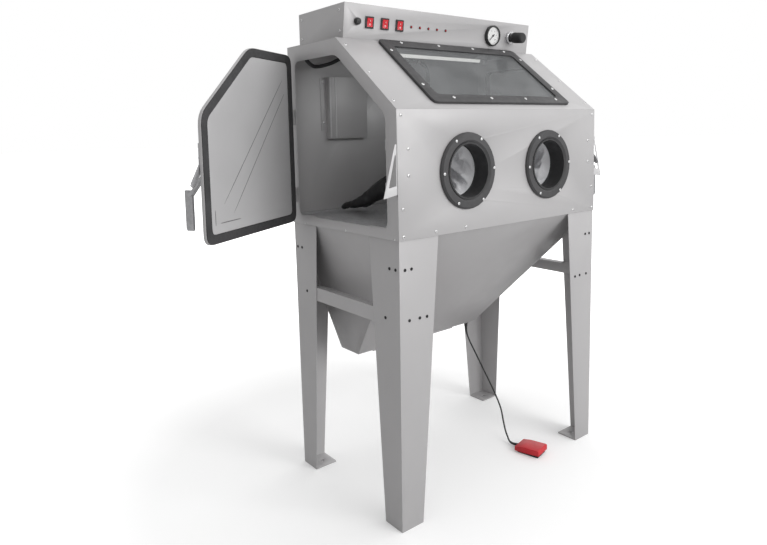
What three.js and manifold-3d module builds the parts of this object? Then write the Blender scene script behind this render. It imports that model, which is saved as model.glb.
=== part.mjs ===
// Sandblast cabinet: a sheet-metal chamber on four tapered legs, with a hopper, two side doors,
// glove ports, a sloping window, a control box and a foot pedal on a cord.
// Millimetres, +Z up, front towards -Y.
import * as THREE from "three";
import { mergeVertices } from "three/addons/utils/BufferGeometryUtils.js";
import Module from "manifold-3d";

const wasm = await Module();
wasm.setup();

// ---------------------------------------------------------------- driving dimensions
const WIDTH = 1000; // chamber, along X
const DEPTH = 610; // chamber, along Y
const SHEET = 2;
const GAP = 0.3; // between pieces that touch
const BODY_LOW = 925; // lower edge of the chamber panels
const FRONT_TOP = 1317; // front panel meets the sloping window panel
const ROOF = 1561;
const ROOF_FRONT_Y = -2; // where the slope meets the roof

const HALF_W = WIDTH / 2;
const FRONT_Y = -DEPTH / 2;
const BACK_Y = DEPTH / 2;
const INNER_X = HALF_W - SHEET - GAP; // outer face of what stands inside the side panels
const INNER_FRONT = FRONT_Y + SHEET + GAP;
const INNER_BACK = BACK_Y - SHEET - GAP;

const ARM_X = 206; // glove ports
const ARM_Z = 1120;
const PORT_HOLE_R = 96;
const RING_OUTER_R = 124;
const RING_BORE_R = 93;
const RING_THICK = 12;

const WINDOW = { x: 18, width: 698, low: 27, high: 386, border: 40, thick: 9, corner: 20 };
const GLASS_THICK = 4;
const GLASS_LAP = 16; // glass under the frame's border

const DOOR_HINGE = { x: 508, y: 272 };
const DOOR_OPEN_DEG = 59; // left door at rest
const OPENING = { back: 258, front: -252, low: 956, high: 1506, apexY: 0, corner: 26 };
const DOOR_LAP = 22; // door outline beyond the opening
const DOOR_BACK = 264;
const DOOR_FACE = 5; // outer face, outward from the hinge axis
const DOOR_RIM = 5; // rim edge, inward from the hinge axis
const DOOR_SHEET = 1.5;
const DOOR_CORNER = 34;
const SEAL_WIDTH = 26;
const SEAL_PROUD = 2.4;
const KNUCKLE = { r: 6, bore: 3.6, pin: 2.8, half: 27, levels: [1030, 1310] };

const LATCH = { y: -258, z: 1190, stud: 5, hole: 5.5, off: 1.3, plate: 4 };
const CATCH = { top: 1214, low: 1056, slotTop: 1182, slotLow: 1086, reach: 52, nose: 6, inner: 440, strip: 11 };

const HOPPER = { topX: INNER_X - SHEET - GAP, topY: INNER_BACK - SHEET - 1, x: 318, front: 169, back: 282, z: 412 };
const OUTLET = { x: -20, halfX: 80, halfY: 30 };
const GATE = { low: 404.6, thick: 2, halfX: 105, halfY: 43, tab: 24 };

const LEG = { top: 960, footX: 498, footY: 290, frontTop: 163, sideTop: 150, footW: 88, footD: 83, plate: 5 };
const BRACE = { high: 700, low: 652, half: 250, flange: 32 };

const BOX = { half: 466.7, low: ROOF + GAP, high: 1675, frontLow: 1.5, frontHigh: -13.8, back: 271.5 };
const PANEL_TILT = Math.atan2(BOX.frontLow - BOX.frontHigh, BOX.high - BOX.low);
const PANEL_MID = { y: (BOX.frontLow + BOX.frontHigh) / 2, z: (BOX.low + BOX.high) / 2 };
const SWITCHES = { xs: [-362, -296, -230], bezel: [33, 39], rocker: [23, 29] };
const FUSE_X = -413;
const GAUGE = { x: 247, r: 40, proud: 13 };
const KNOB = { x: 354, ringR: 24, knobR: 20, reach: 72 };

const GRATE = { z: 950, bars: 59, pitch: 16.4, bar: 9, thick: 3 };
const BAFFLE = { x0: -340, x1: -164, z0: 1229, z1: 1461, depth: 22 };
const DUCT = { x: -235, z: 1345, bore: 48, r: 51, length: 62 };
const LAMP = { half: 300, y: 90, z: 1530 };
const GUN = { x: 150, y: 262, z: 1240 };
const PICKUP = { x: 205, y: 266, r: 13, low: 424, high: 1010 };

const PEDAL = { x: 205, y: -228, turn: 12, width: 74, length: 104, high: 31 };
const CORD_R = 3.2;
const GLAND = { x: 285, y: 190 };

// ---------------------------------------------------------------- looks
const LOOKS = {
  paint: { color: 0xb9b7b8, roughness: 0.45, metalness: 0.3 },
  steel: { color: 0xc6c6c8, roughness: 0.3, metalness: 0.9 },
  zinc: { color: 0xa9abad, roughness: 0.4, metalness: 0.8 },
  rubber: { color: 0x2b2a2c, roughness: 0.8, metalness: 0 },
  plastic: { color: 0x1c1c1e, roughness: 0.45, metalness: 0 },
  red: { color: 0xc4202c, roughness: 0.35, metalness: 0 },
  glass: { color: 0x5c6062, roughness: 0.08, metalness: 0, transparent: true, opacity: 0.45 },
  lamp: { color: 0xf2f2ee, roughness: 0.2, metalness: 0 },
  glove: { color: 0x222224, roughness: 0.7, metalness: 0 },
};

// ---------------------------------------------------------------- geometry helpers
function solid(geometry) {
  const bare = new THREE.BufferGeometry();
  const flat = geometry.index ? geometry.toNonIndexed() : geometry;
  bare.setAttribute("position", flat.getAttribute("position").clone());
  const merged = mergeVertices(bare, 1e-4);
  return new wasm.Manifold(
    new wasm.Mesh({
      numProp: 3,
      vertProperties: merged.attributes.position.array,
      triVerts: new Uint32Array(merged.index.array),
    }),
  );
}

function geometryOf(manifold) {
  const mesh = manifold.getMesh();
  const geometry = new THREE.BufferGeometry();
  geometry.setAttribute("position", new THREE.BufferAttribute(mesh.vertProperties.slice(), 3));
  geometry.setIndex(new THREE.BufferAttribute(mesh.triVerts.slice(), 1));
  return geometry;
}

const join = (...pieces) => geometryOf(pieces.map(solid).reduce((a, b) => a.add(b)));
const cut = (base, ...tools) => geometryOf(tools.map(solid).reduce((a, b) => a.subtract(b), solid(base)));

// Turns every triangle round: used after a mirror, or where a loft came out inside out.
function reversed(geometry) {
  const flat = geometry.index ? geometry.toNonIndexed() : geometry;
  const at = flat.getAttribute("position").array.slice();
  for (let i = 0; i < at.length; i += 9)
    for (let k = 0; k < 3; k++) [at[i + 3 + k], at[i + 6 + k]] = [at[i + 6 + k], at[i + 3 + k]];
  const out = new THREE.BufferGeometry();
  out.setAttribute("position", new THREE.BufferAttribute(at, 3));
  return out;
}

function mirrored(geometry, x, y = 1) {
  const copy = geometry.clone().scale(x, y, 1);
  return x * y < 0 ? reversed(copy) : copy;
}

// A closed mesh from vertices and polygons, facing out whichever way the polygons were listed.
function closedMesh(points, polygons) {
  const at = [];
  for (const ids of polygons)
    for (let i = 1; i + 1 < ids.length; i++)
      for (const id of [ids[0], ids[i], ids[i + 1]]) at.push(...points[id].toArray());
  let volume = 0;
  const [a, b, c] = [new THREE.Vector3(), new THREE.Vector3(), new THREE.Vector3()];
  for (let i = 0; i < at.length; i += 9)
    volume += a.fromArray(at, i).dot(b.fromArray(at, i + 3).cross(c.fromArray(at, i + 6)));
  const geometry = new THREE.BufferGeometry();
  geometry.setAttribute("position", new THREE.BufferAttribute(new Float32Array(at), 3));
  return volume < 0 ? reversed(geometry) : geometry;
}

// Six-sided body between two quadrilaterals.
function hexahedron(lower, upper) {
  const points = [...lower, ...upper].map((p) => new THREE.Vector3(...p));
  const sides = [0, 1, 2, 3].map((i) => [i, (i + 1) % 4, 4 + ((i + 1) % 4), 4 + i]);
  return closedMesh(points, [[3, 2, 1, 0], [4, 5, 6, 7], ...sides]);
}

// Rings of points stitched into one closed skin with a cap on the first and the last.
function loft(rings) {
  const n = rings[0].length;
  const points = rings.flat();
  const polygons = [rings[0].map((_, i) => n - 1 - i), rings[0].map((_, i) => (rings.length - 1) * n + i)];
  for (let r = 0; r + 1 < rings.length; r++)
    for (let i = 0; i < n; i++) {
      const j = (i + 1) % n;
      polygons.push([r * n + i, r * n + j, (r + 1) * n + j, (r + 1) * n + i]);
    }
  return closedMesh(points, polygons);
}

function box(x0, x1, y0, y1, z0, z1) {
  return new THREE.BoxGeometry(x1 - x0, y1 - y0, z1 - z0)
    .translate((x0 + x1) / 2, (y0 + y1) / 2, (z0 + z1) / 2);
}

function outline(points, radius = 0, Type = THREE.Shape) {
  const shape = new Type();
  points.forEach((p, i) => {
    const here = new THREE.Vector2(...p);
    const before = new THREE.Vector2(...points[(i + points.length - 1) % points.length]);
    const after = new THREE.Vector2(...points[(i + 1) % points.length]);
    const start = here.clone().add(before.sub(here).setLength(radius || 1));
    const end = here.clone().add(after.sub(here).setLength(radius || 1));
    const first = radius ? start : here;
    if (i) shape.lineTo(first.x, first.y);
    else shape.moveTo(first.x, first.y);
    if (radius) shape.quadraticCurveTo(here.x, here.y, end.x, end.y);
  });
  return shape;
}

// A convex outline moved inwards by a distance; the points run clockwise or anticlockwise.
function inset(points, distance) {
  const centre = new THREE.Vector2();
  points.forEach((p) => centre.add(new THREE.Vector2(...p).divideScalar(points.length)));
  const lines = points.map((p, i) => {
    const from = new THREE.Vector2(...p);
    const along = new THREE.Vector2(...points[(i + 1) % points.length]).sub(from).normalize();
    const inward = new THREE.Vector2(-along.y, along.x);
    if (inward.dot(centre.clone().sub(from)) < 0) inward.negate();
    return { at: from.addScaledVector(inward, distance), along };
  });
  return lines.map((line, i) => {
    const last = lines[(i + lines.length - 1) % lines.length];
    const between = line.at.clone().sub(last.at);
    const t = between.cross(line.along) / last.along.cross(line.along);
    return last.at.clone().addScaledVector(last.along, t).toArray();
  });
}

function extrude(shape, depth, holes = [], curveSegments = 4) {
  shape.holes = holes;
  return new THREE.ExtrudeGeometry(shape, { depth, bevelEnabled: false, curveSegments });
}

// Plates from an outline: in (y, z) with the thickness along X, and in (x, z) with it along Y.
function plateX(points, x0, x1, holes = [], radius = 0, segments = 4) {
  const basis = new THREE.Matrix4().makeBasis(
    new THREE.Vector3(0, 1, 0), new THREE.Vector3(0, 0, 1), new THREE.Vector3(1, 0, 0));
  return extrude(outline(points, radius), x1 - x0, holes, segments).applyMatrix4(basis).translate(x0, 0, 0);
}

function plateY(points, y0, y1, holes = [], radius = 0, segments = 4) {
  return extrude(outline(points, radius), y1 - y0, holes, segments).rotateX(Math.PI / 2).translate(0, y1, 0);
}

// Turned body about an axis: profile is [radius, distance along the axis] from end to end.
function turned(profile, axis, at, sides = 24) {
  const geometry = new THREE.LatheGeometry(profile.map((p) => new THREE.Vector2(...p)), sides);
  const turn = new THREE.Quaternion().setFromUnitVectors(
    new THREE.Vector3(0, 1, 0), new THREE.Vector3(...axis).normalize());
  return geometry.applyQuaternion(turn).translate(...at);
}

const rod = (r, length, axis, at, sides = 16) =>
  turned([[0, 0], [r, 0], [r, length], [0, length]], axis, at, sides);

function pipe(points, r, steps, sides = 8) {
  const section = new THREE.Shape(
    Array.from({ length: sides }, (_, i) => {
      const a = (2 * Math.PI * i) / sides;
      return new THREE.Vector2(r * Math.cos(a), r * Math.sin(a));
    }));
  const extrudePath = new THREE.CatmullRomCurve3(points.map((p) => new THREE.Vector3(...p)));
  return new THREE.ExtrudeGeometry(section, { steps, extrudePath, bevelEnabled: false });
}

const cabinet = new THREE.Group();

function add(name, geometry, look, parent = cabinet) {
  const mesh = new THREE.Mesh(geometry, new THREE.MeshStandardMaterial(LOOKS[look]));
  mesh.name = name;
  parent.add(mesh);
  return mesh;
}

// ---------------------------------------------------------------- chamber panels
const slopeRun = ROOF_FRONT_Y - FRONT_Y;
const slopeRise = ROOF - FRONT_TOP;
const SLOPE = Math.atan2(slopeRise, slopeRun);
const SLOPE_LENGTH = Math.hypot(slopeRun, slopeRise);

// The profile of the chamber seen from the side, and the inside face of its sheet.
const profile = [
  [FRONT_Y, BODY_LOW], [FRONT_Y, FRONT_TOP], [ROOF_FRONT_Y, ROOF], [BACK_Y, ROOF], [BACK_Y, BODY_LOW],
];
const profileInside = inset(profile, SHEET);

// One folded side of the profile across the full width, ending at the mitres.
function bandPanel(i) {
  const corners = [profile[i], profile[i + 1], profileInside[i + 1], profileInside[i]];
  const along = new THREE.Vector2(...profile[i + 1]).sub(new THREE.Vector2(...profile[i])).normalize();
  const shift = [1, -1, -1, 1].map((s) => (s * GAP) / 2);
  const ends = [i > 0, i < 3, i < 3, i > 0]; // the two free lower edges keep their length
  const points = corners.map(([y, z], k) =>
    ends[k] ? [y + along.x * shift[k], z + along.y * shift[k]] : [y, Math.max(z, BODY_LOW)]);
  return plateX(points, -HALF_W, HALF_W);
}

function buildPanels() {
  const ports = [-ARM_X, ARM_X].map((x) => rod(PORT_HOLE_R, 20, [0, 1, 0], [x, FRONT_Y - 10, ARM_Z], 40));
  add("front_panel", cut(bandPanel(0), ...ports), "paint");

  const hole = inset(windowRectangle(), WINDOW.border - 4);
  const slopeCut = extrude(outline(hole, 12), 40).translate(0, 0, -20);
  add("window_panel", cut(bandPanel(1), onSlope(slopeCut)), "paint");

  add("roof_panel", bandPanel(2), "paint");

  const duct = rod(DUCT.bore + 1, 30, [0, 1, 0], [DUCT.x, BACK_Y - 15, DUCT.z], 32);
  const hook = join(
    box(GUN.x - 30, GUN.x + 30, BACK_Y - 8, BACK_Y - 1, GUN.z - 6, GUN.z + 30),
    box(GUN.x - 30, GUN.x - 19, GUN.y - 16, BACK_Y - 1, GUN.z - 6, GUN.z - 2),
    box(GUN.x + 19, GUN.x + 30, GUN.y - 16, BACK_Y - 1, GUN.z - 6, GUN.z - 2),
  );
  add("back_panel", join(cut(bandPanel(3), duct), hook), "paint");

  const side = sidePanel();
  add("left_side_panel", side, "paint");
  add("right_side_panel", mirrored(side, -1), "paint");
}

function windowRectangle() {
  const [x0, x1] = [WINDOW.x - WINDOW.width / 2, WINDOW.x + WINDOW.width / 2];
  return [[x0, WINDOW.low], [x1, WINDOW.low], [x1, WINDOW.high], [x0, WINDOW.high]];
}

// From the slope's own plane, x across and y up the slope from the front edge, to the cabinet.
function onSlope(geometry) {
  return geometry.rotateX(SLOPE).translate(0, FRONT_Y, FRONT_TOP);
}

function openingOutline() {
  const drop = (OPENING.apexY - OPENING.front) * Math.tan(SLOPE);
  return [
    [OPENING.back, OPENING.low], [OPENING.back, OPENING.high], [OPENING.apexY, OPENING.high],
    [OPENING.front, OPENING.high - drop], [OPENING.front, OPENING.low],
  ];
}

// The left side panel: pentagon inside the folded band, the door opening, a notch for the catch,
// and the fixed halves of the two hinges with their pins.
function sidePanel() {
  const edge = inset(profile, SHEET + GAP);
  const notch = INNER_FRONT + SHEET + GAP;
  const points = [
    [INNER_FRONT, BODY_LOW], [INNER_FRONT, CATCH.low - 2], [notch, CATCH.low - 2],
    [notch, CATCH.top + 2], [INNER_FRONT, CATCH.top + 2],
    ...edge.slice(1, 4), [INNER_BACK, BODY_LOW],
  ];
  const opening = outline(openingOutline(), OPENING.corner, THREE.Path);
  const panel = plateX(points, -HALF_W, -HALF_W + SHEET, [opening]);
  const hinges = KNUCKLE.levels.flatMap((z) => [
    box(-HALF_W - 3, -HALF_W + 1, DOOR_HINGE.y + 9, DOOR_HINGE.y + 24, z - KNUCKLE.half, z + KNUCKLE.half),
    box(-HALF_W - 3, -HALF_W + 1, DOOR_HINGE.y - 2, DOOR_HINGE.y + 10, z - KNUCKLE.half, z - GAP),
    rod(KNUCKLE.r, KNUCKLE.half - GAP, [0, 0, 1], [-DOOR_HINGE.x, DOOR_HINGE.y, z - KNUCKLE.half]),
    rod(KNUCKLE.pin, 2 * KNUCKLE.half - 2, [0, 0, 1], [-DOOR_HINGE.x, DOOR_HINGE.y, z - KNUCKLE.half + 1]),
  ]);
  return join(panel, ...hinges);
}

// ---------------------------------------------------------------- hopper
function buildHopper() {
  const top = BODY_LOW;
  const rise = top - HOPPER.z;
  const lean = (run) => (SHEET * Math.hypot(run, rise)) / rise; // sheet thickness measured level
  const across = lean(HOPPER.topX - HOPPER.x);
  const front = lean(HOPPER.front + HOPPER.topY);
  const back = lean(HOPPER.topY - HOPPER.back);
  const ring = (x, y0, y1, z, a, f, b) =>
    [[-x + a, y0 + f, z], [x - a, y0 + f, z], [x - a, y1 - b, z], [-x + a, y1 - b, z]];
  const rings = [
    ring(HOPPER.x, HOPPER.front, HOPPER.back, HOPPER.z, 0, 0, 0),
    ring(HOPPER.topX, -HOPPER.topY, HOPPER.topY, top, 0, 0, 0),
    ring(HOPPER.x, HOPPER.front, HOPPER.back, HOPPER.z, across, front, back),
    ring(HOPPER.topX, -HOPPER.topY, HOPPER.topY, top, across, front, back),
  ];
  ["front", "right", "rear", "left"].forEach((side, i) => {
    const j = (i + 1) % 4;
    const along = i % 2 ? 1 : 0; // front and rear run along X, the ends along Y
    const level = (outer, inner) =>
      [[outer[i], 1], [outer[j], -1], [inner[j], -1], [inner[i], 1]].map(([p, sense]) => {
        const q = [...p];
        q[along] += ((sense * Math.sign(outer[j][along] - outer[i][along])) * GAP) / 2;
        return q;
      });
    add(`hopper_${side}`, hexahedron(level(rings[0], rings[2]), level(rings[1], rings[3])), "paint");
  });

  const floorTop = HOPPER.z - GAP;
  const floorLow = floorTop - SHEET;
  const midY = (HOPPER.front + HOPPER.back) / 2;
  const railLow = GATE.low - 3;
  const rails = [-1, 1].flatMap((s) => {
    const web = midY + s * (GATE.halfY + 3);
    return [
      box(-240, 190, web - 1.5, web + 1.5, railLow, floorTop - 0.5),
      box(-240, 190, Math.min(web, web - s * 8), Math.max(web, web - s * 8), railLow, railLow + 2.4),
    ];
  });
  const plate = cut(
    box(-HOPPER.x, HOPPER.x, HOPPER.front, HOPPER.back, floorLow, floorTop),
    box(OUTLET.x - OUTLET.halfX, OUTLET.x + OUTLET.halfX, midY - OUTLET.halfY, midY + OUTLET.halfY, 400, 420),
  );
  add("hopper_floor", join(plate, ...rails), "paint");

  const [g0, g1] = [OUTLET.x - GATE.halfX, OUTLET.x + GATE.halfX];
  const gateTop = GATE.low + GATE.thick;
  add("drain_gate", join(
    box(g0, g1, midY - GATE.halfY, midY + GATE.halfY, GATE.low, gateTop),
    box(g1 - GATE.thick, g1, midY - 30, midY + 30, GATE.low - GATE.tab, gateTop),
  ), "zinc");
}

// ---------------------------------------------------------------- legs and braces
function frontLeftLeg() {
  const [x, y, fx, fy] = [-INNER_X, INNER_FRONT, -LEG.footX, -LEG.footY];
  const high = LEG.top;
  const front = hexahedron(
    [[fx, fy, 0], [fx + LEG.footW, fy, 0], [fx + LEG.footW, fy + SHEET, 0], [fx, fy + SHEET, 0]],
    [[x, y, high], [x + LEG.frontTop, y, high], [x + LEG.frontTop, y + SHEET, high], [x, y + SHEET, high]],
  );
  const side = hexahedron(
    [[fx, fy, 0], [fx + SHEET, fy, 0], [fx + SHEET, fy + LEG.footD, 0], [fx, fy + LEG.footD, 0]],
    [[x, y, high], [x + SHEET, y, high], [x + SHEET, y + LEG.sideTop, high], [x, y + LEG.sideTop, high]],
  );
  const anchor = rod(6, 12, [0, 0, 1], [fx + LEG.footW / 2 + 6, fy + LEG.footD / 2 + 6, -3]);
  const foot = cut(box(fx, fx + LEG.footW, fy, fy + LEG.footD, 0, LEG.plate), anchor);
  return join(front, side, foot);
}

function buildStand() {
  const leg = frontLeftLeg();
  const corners = { front_left: [1, 1], front_right: [-1, 1], rear_left: [1, -1], rear_right: [-1, -1] };
  for (const [corner, [x, y]] of Object.entries(corners)) add(`${corner}_leg`, mirrored(leg, x, y), "paint");

  const inner = INNER_X - SHEET - GAP;
  const upright = box(-inner, -inner + 3, -BRACE.half + 20, BRACE.half - 20, BRACE.low, BRACE.high);
  const shelf = box(-inner, -inner + BRACE.flange, -BRACE.half + 70, BRACE.half - 70, BRACE.high - 3, BRACE.high);
  const brace = join(upright, shelf);
  add("left_brace", brace, "paint");
  add("right_brace", mirrored(brace, -1), "paint");
}

// ---------------------------------------------------------------- window and glove ports
function buildWindow() {
  const rectangle = windowRectangle();
  const glassOutline = inset(rectangle, WINDOW.border - GLASS_LAP);
  const opening = inset(rectangle, WINDOW.border);
  const pocket = inset(glassOutline, -0.5);
  const frame = extrude(outline(rectangle, WINDOW.corner), WINDOW.thick,
    [outline(opening, 16, THREE.Path)]).translate(0, 0, GAP);
  const recess = extrude(outline(pocket), GLASS_THICK + 0.9);
  add("window_frame", onSlope(cut(frame, recess)), "rubber");
  add("window_glass", onSlope(extrude(outline(glassOutline), GLASS_THICK).translate(0, 0, GAP + 0.1)), "glass");
}

function gloveRing(x) {
  const face = FRONT_Y - GAP;
  const out = RING_THICK;
  const section = [
    [RING_BORE_R, 0], [RING_OUTER_R, 0], [RING_OUTER_R, 5], [RING_OUTER_R - 5, out - 1],
    [RING_BORE_R + 7, out], [RING_BORE_R, out - 5], [RING_BORE_R, 0],
  ];
  return turned(section, [0, -1, 0], [x, face, ARM_Z], 36);
}

// A long glove: a hollow sleeve from the port, then a forearm and a flat hand lying on the grate.
function glove() {
  const stations = [ // x from the port, y, z, half width, half height
    [0, -304.6, 1120, 90, 90],
    [0, -262, 1120, 89, 89],
    [-10, -190, 1112, 80, 78],
    [-30, -110, 1098, 68, 62],
    [-55, -30, 1074, 56, 46],
    [-75, 40, 1046, 46, 36],
    [-86, 90, 1022, 38, 27],
    [-92, 130, 1000, 46, 22],
    [-96, 175, 986, 50, 18],
    [-98, 215, 979, 40, 14],
    [-99, 240, 975, 24, 8],
  ];
  const wall = 3;
  const ring = ([x, y, z, across, high], less) =>
    Array.from({ length: 16 }, (_, i) => {
      const a = (2 * Math.PI * i) / 16;
      return new THREE.Vector3(-ARM_X + x + (across - less) * Math.cos(a), y, z + (high - less) * Math.sin(a));
    });
  const inside = stations.slice(0, 5).reverse().map((s) => ring(s, wall));
  return loft([...inside, ...stations.map((s) => ring(s, 0))]);
}

function buildGlovePorts() {
  add("left_glove_ring", gloveRing(-ARM_X), "rubber");
  add("right_glove_ring", gloveRing(ARM_X), "rubber");
  const left = glove();
  add("left_glove", left, "glove");
  add("right_glove", mirrored(left, -1), "glove");
}

// ---------------------------------------------------------------- doors, seals and latches
function doorOutline() {
  const [, , apex, corner] = openingOutline();
  const lift = DOOR_LAP / Math.cos(SLOPE);
  const slopeAt = (y) => apex[1] + lift + (y - apex[0]) * Math.tan(SLOPE);
  const [high, front, low] = [OPENING.high + DOOR_LAP, corner[0] - DOOR_LAP, OPENING.low - DOOR_LAP];
  const apexY = apex[0] + (high - slopeAt(apex[0])) / Math.tan(SLOPE);
  return [[DOOR_BACK, low], [DOOR_BACK, high], [apexY, high], [front, slopeAt(front)], [front, low]];
}

// Everything on a door is drawn closed, on the left, with the hinge axis at x = y = 0.
const fromHinge = (points) => points.map(([y, z]) => [y - DOOR_HINGE.y, z]);

function doorPan() {
  const rim = fromHinge(doorOutline());
  const pan = cut(
    plateX(rim, -DOOR_FACE, DOOR_RIM, [], DOOR_CORNER),
    plateX(inset(rim, DOOR_SHEET), -DOOR_FACE + DOOR_SHEET, DOOR_RIM + 1, [], DOOR_CORNER - 1),
  );
  const leaves = KNUCKLE.levels.flatMap((z) => {
    const low = z + GAP;
    const high = z + KNUCKLE.half;
    return [
      box(-DOOR_FACE - 1.5, -DOOR_FACE + 1.2, DOOR_BACK - DOOR_HINGE.y - 26, 0, low, high),
      rod(KNUCKLE.r, high - low, [0, 0, 1], [0, 0, low]),
    ];
  });
  const bores = KNUCKLE.levels.map((z) => rod(KNUCKLE.bore, KNUCKLE.half + 4, [0, 0, 1], [0, 0, z - 2]));
  const at = [-DOOR_FACE + 1, LATCH.y - DOOR_HINGE.y, LATCH.z];
  const reach = LATCH.off + LATCH.plate + 1;
  const stud = turned(
    [[0, 0], [LATCH.stud, 0], [LATCH.stud, reach + 0.6], [9, reach + 0.6], [9, reach + 3], [0, reach + 3.6]],
    [-1, 0, 0], at, 20);
  return cut(join(pan, ...leaves, stud), ...bores);
}

function doorSeal() {
  const rim = fromHinge(doorOutline());
  const outer = inset(rim, DOOR_SHEET + GAP);
  const inner = inset(rim, DOOR_SHEET + GAP + SEAL_WIDTH);
  const hole = outline(inner, DOOR_CORNER - 14, THREE.Path);
  const from = -DOOR_FACE + DOOR_SHEET + GAP;
  return plateX(outer, from, DOOR_RIM + SEAL_PROUD, [hole], DOOR_CORNER - 1);
}

// The latch, about its pivot: a head plate on the stud, an arm that reaches forward into the catch,
// a step outwards, and a hanging grip bar set on edge to the door.
function latchLever() {
  const near = -LATCH.off;
  const far = near - LATCH.plate;
  const head = plateX(
    [[15, 42], [-13, 42], [-15, -18], [-52, -66], [-57, -76], [-47, -83], [-36, -76], [-8, -42], [-8, -62], [15, -62]],
    far, near);
  const step = hexahedron(
    [[-52, -6, -106], [-52, 12, -106], [-45, 12, -112], [-45, -6, -112]],
    [[far, -6, -50], [far, 12, -50], [near, 12, -58], [near, -6, -58]],
  );
  const grip = plateX([[-1, -94], [7, -94], [7, -206], [3, -214], [-1, -206]], -69, -43);
  return cut(join(head, step, grip), rod(LATCH.hole, 20, [1, 0, 0], [-15, 0, 0], 20));
}

function buildDoors() {
  const pan = doorPan();
  const seal = doorSeal();
  const lever = latchLever();
  for (const [side, mirror, turn] of [["left", 1, -DOOR_OPEN_DEG], ["right", -1, 0]]) {
    const door = new THREE.Group();
    door.position.set(-mirror * DOOR_HINGE.x, DOOR_HINGE.y, 0);
    door.rotation.z = THREE.MathUtils.degToRad(turn);
    add(`${side}_door`, mirrored(pan, mirror), "paint", door);
    add(`${side}_door_seal`, mirrored(seal, mirror), "rubber", door);
    const latch = new THREE.Group();
    latch.position.set(-mirror * DOOR_FACE, LATCH.y - DOOR_HINGE.y, LATCH.z);
    add(`${side}_latch`, mirrored(lever, mirror), "zinc", latch);
    door.add(latch);
    cabinet.add(door);
  }
}

function buildCatches() {
  const across = (z) => CATCH.nose + ((CATCH.top - z) / (CATCH.top - CATCH.low)) * (CATCH.reach - CATCH.nose);
  const ear = [
    [-CATCH.inner, CATCH.top], [-HALF_W - CATCH.nose, CATCH.top],
    [-HALF_W - CATCH.reach, CATCH.low], [-HALF_W, CATCH.low + 9], [-CATCH.inner, CATCH.low + 9],
  ];
  const outerAt = (z) => -HALF_W - across(z) + CATCH.strip;
  const slot = outline([
    [-HALF_W - 3, CATCH.slotTop], [outerAt(CATCH.slotTop) - 3, CATCH.slotTop],
    [outerAt(CATCH.slotLow), CATCH.slotLow], [-HALF_W - 3, CATCH.slotLow + 5],
  ], 0, THREE.Path);
  const plate = plateY(ear, INNER_FRONT, INNER_FRONT + SHEET, [slot]);
  add("left_catch", plate, "paint");
  add("right_catch", mirrored(plate, -1), "paint");

  const sensor = box(-INNER_X, -INNER_X + 15, OPENING.front - 23, OPENING.front + 6, 1196, 1228);
  add("left_interlock", sensor, "zinc");
  add("right_interlock", mirrored(sensor, -1), "zinc");
}

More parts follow.
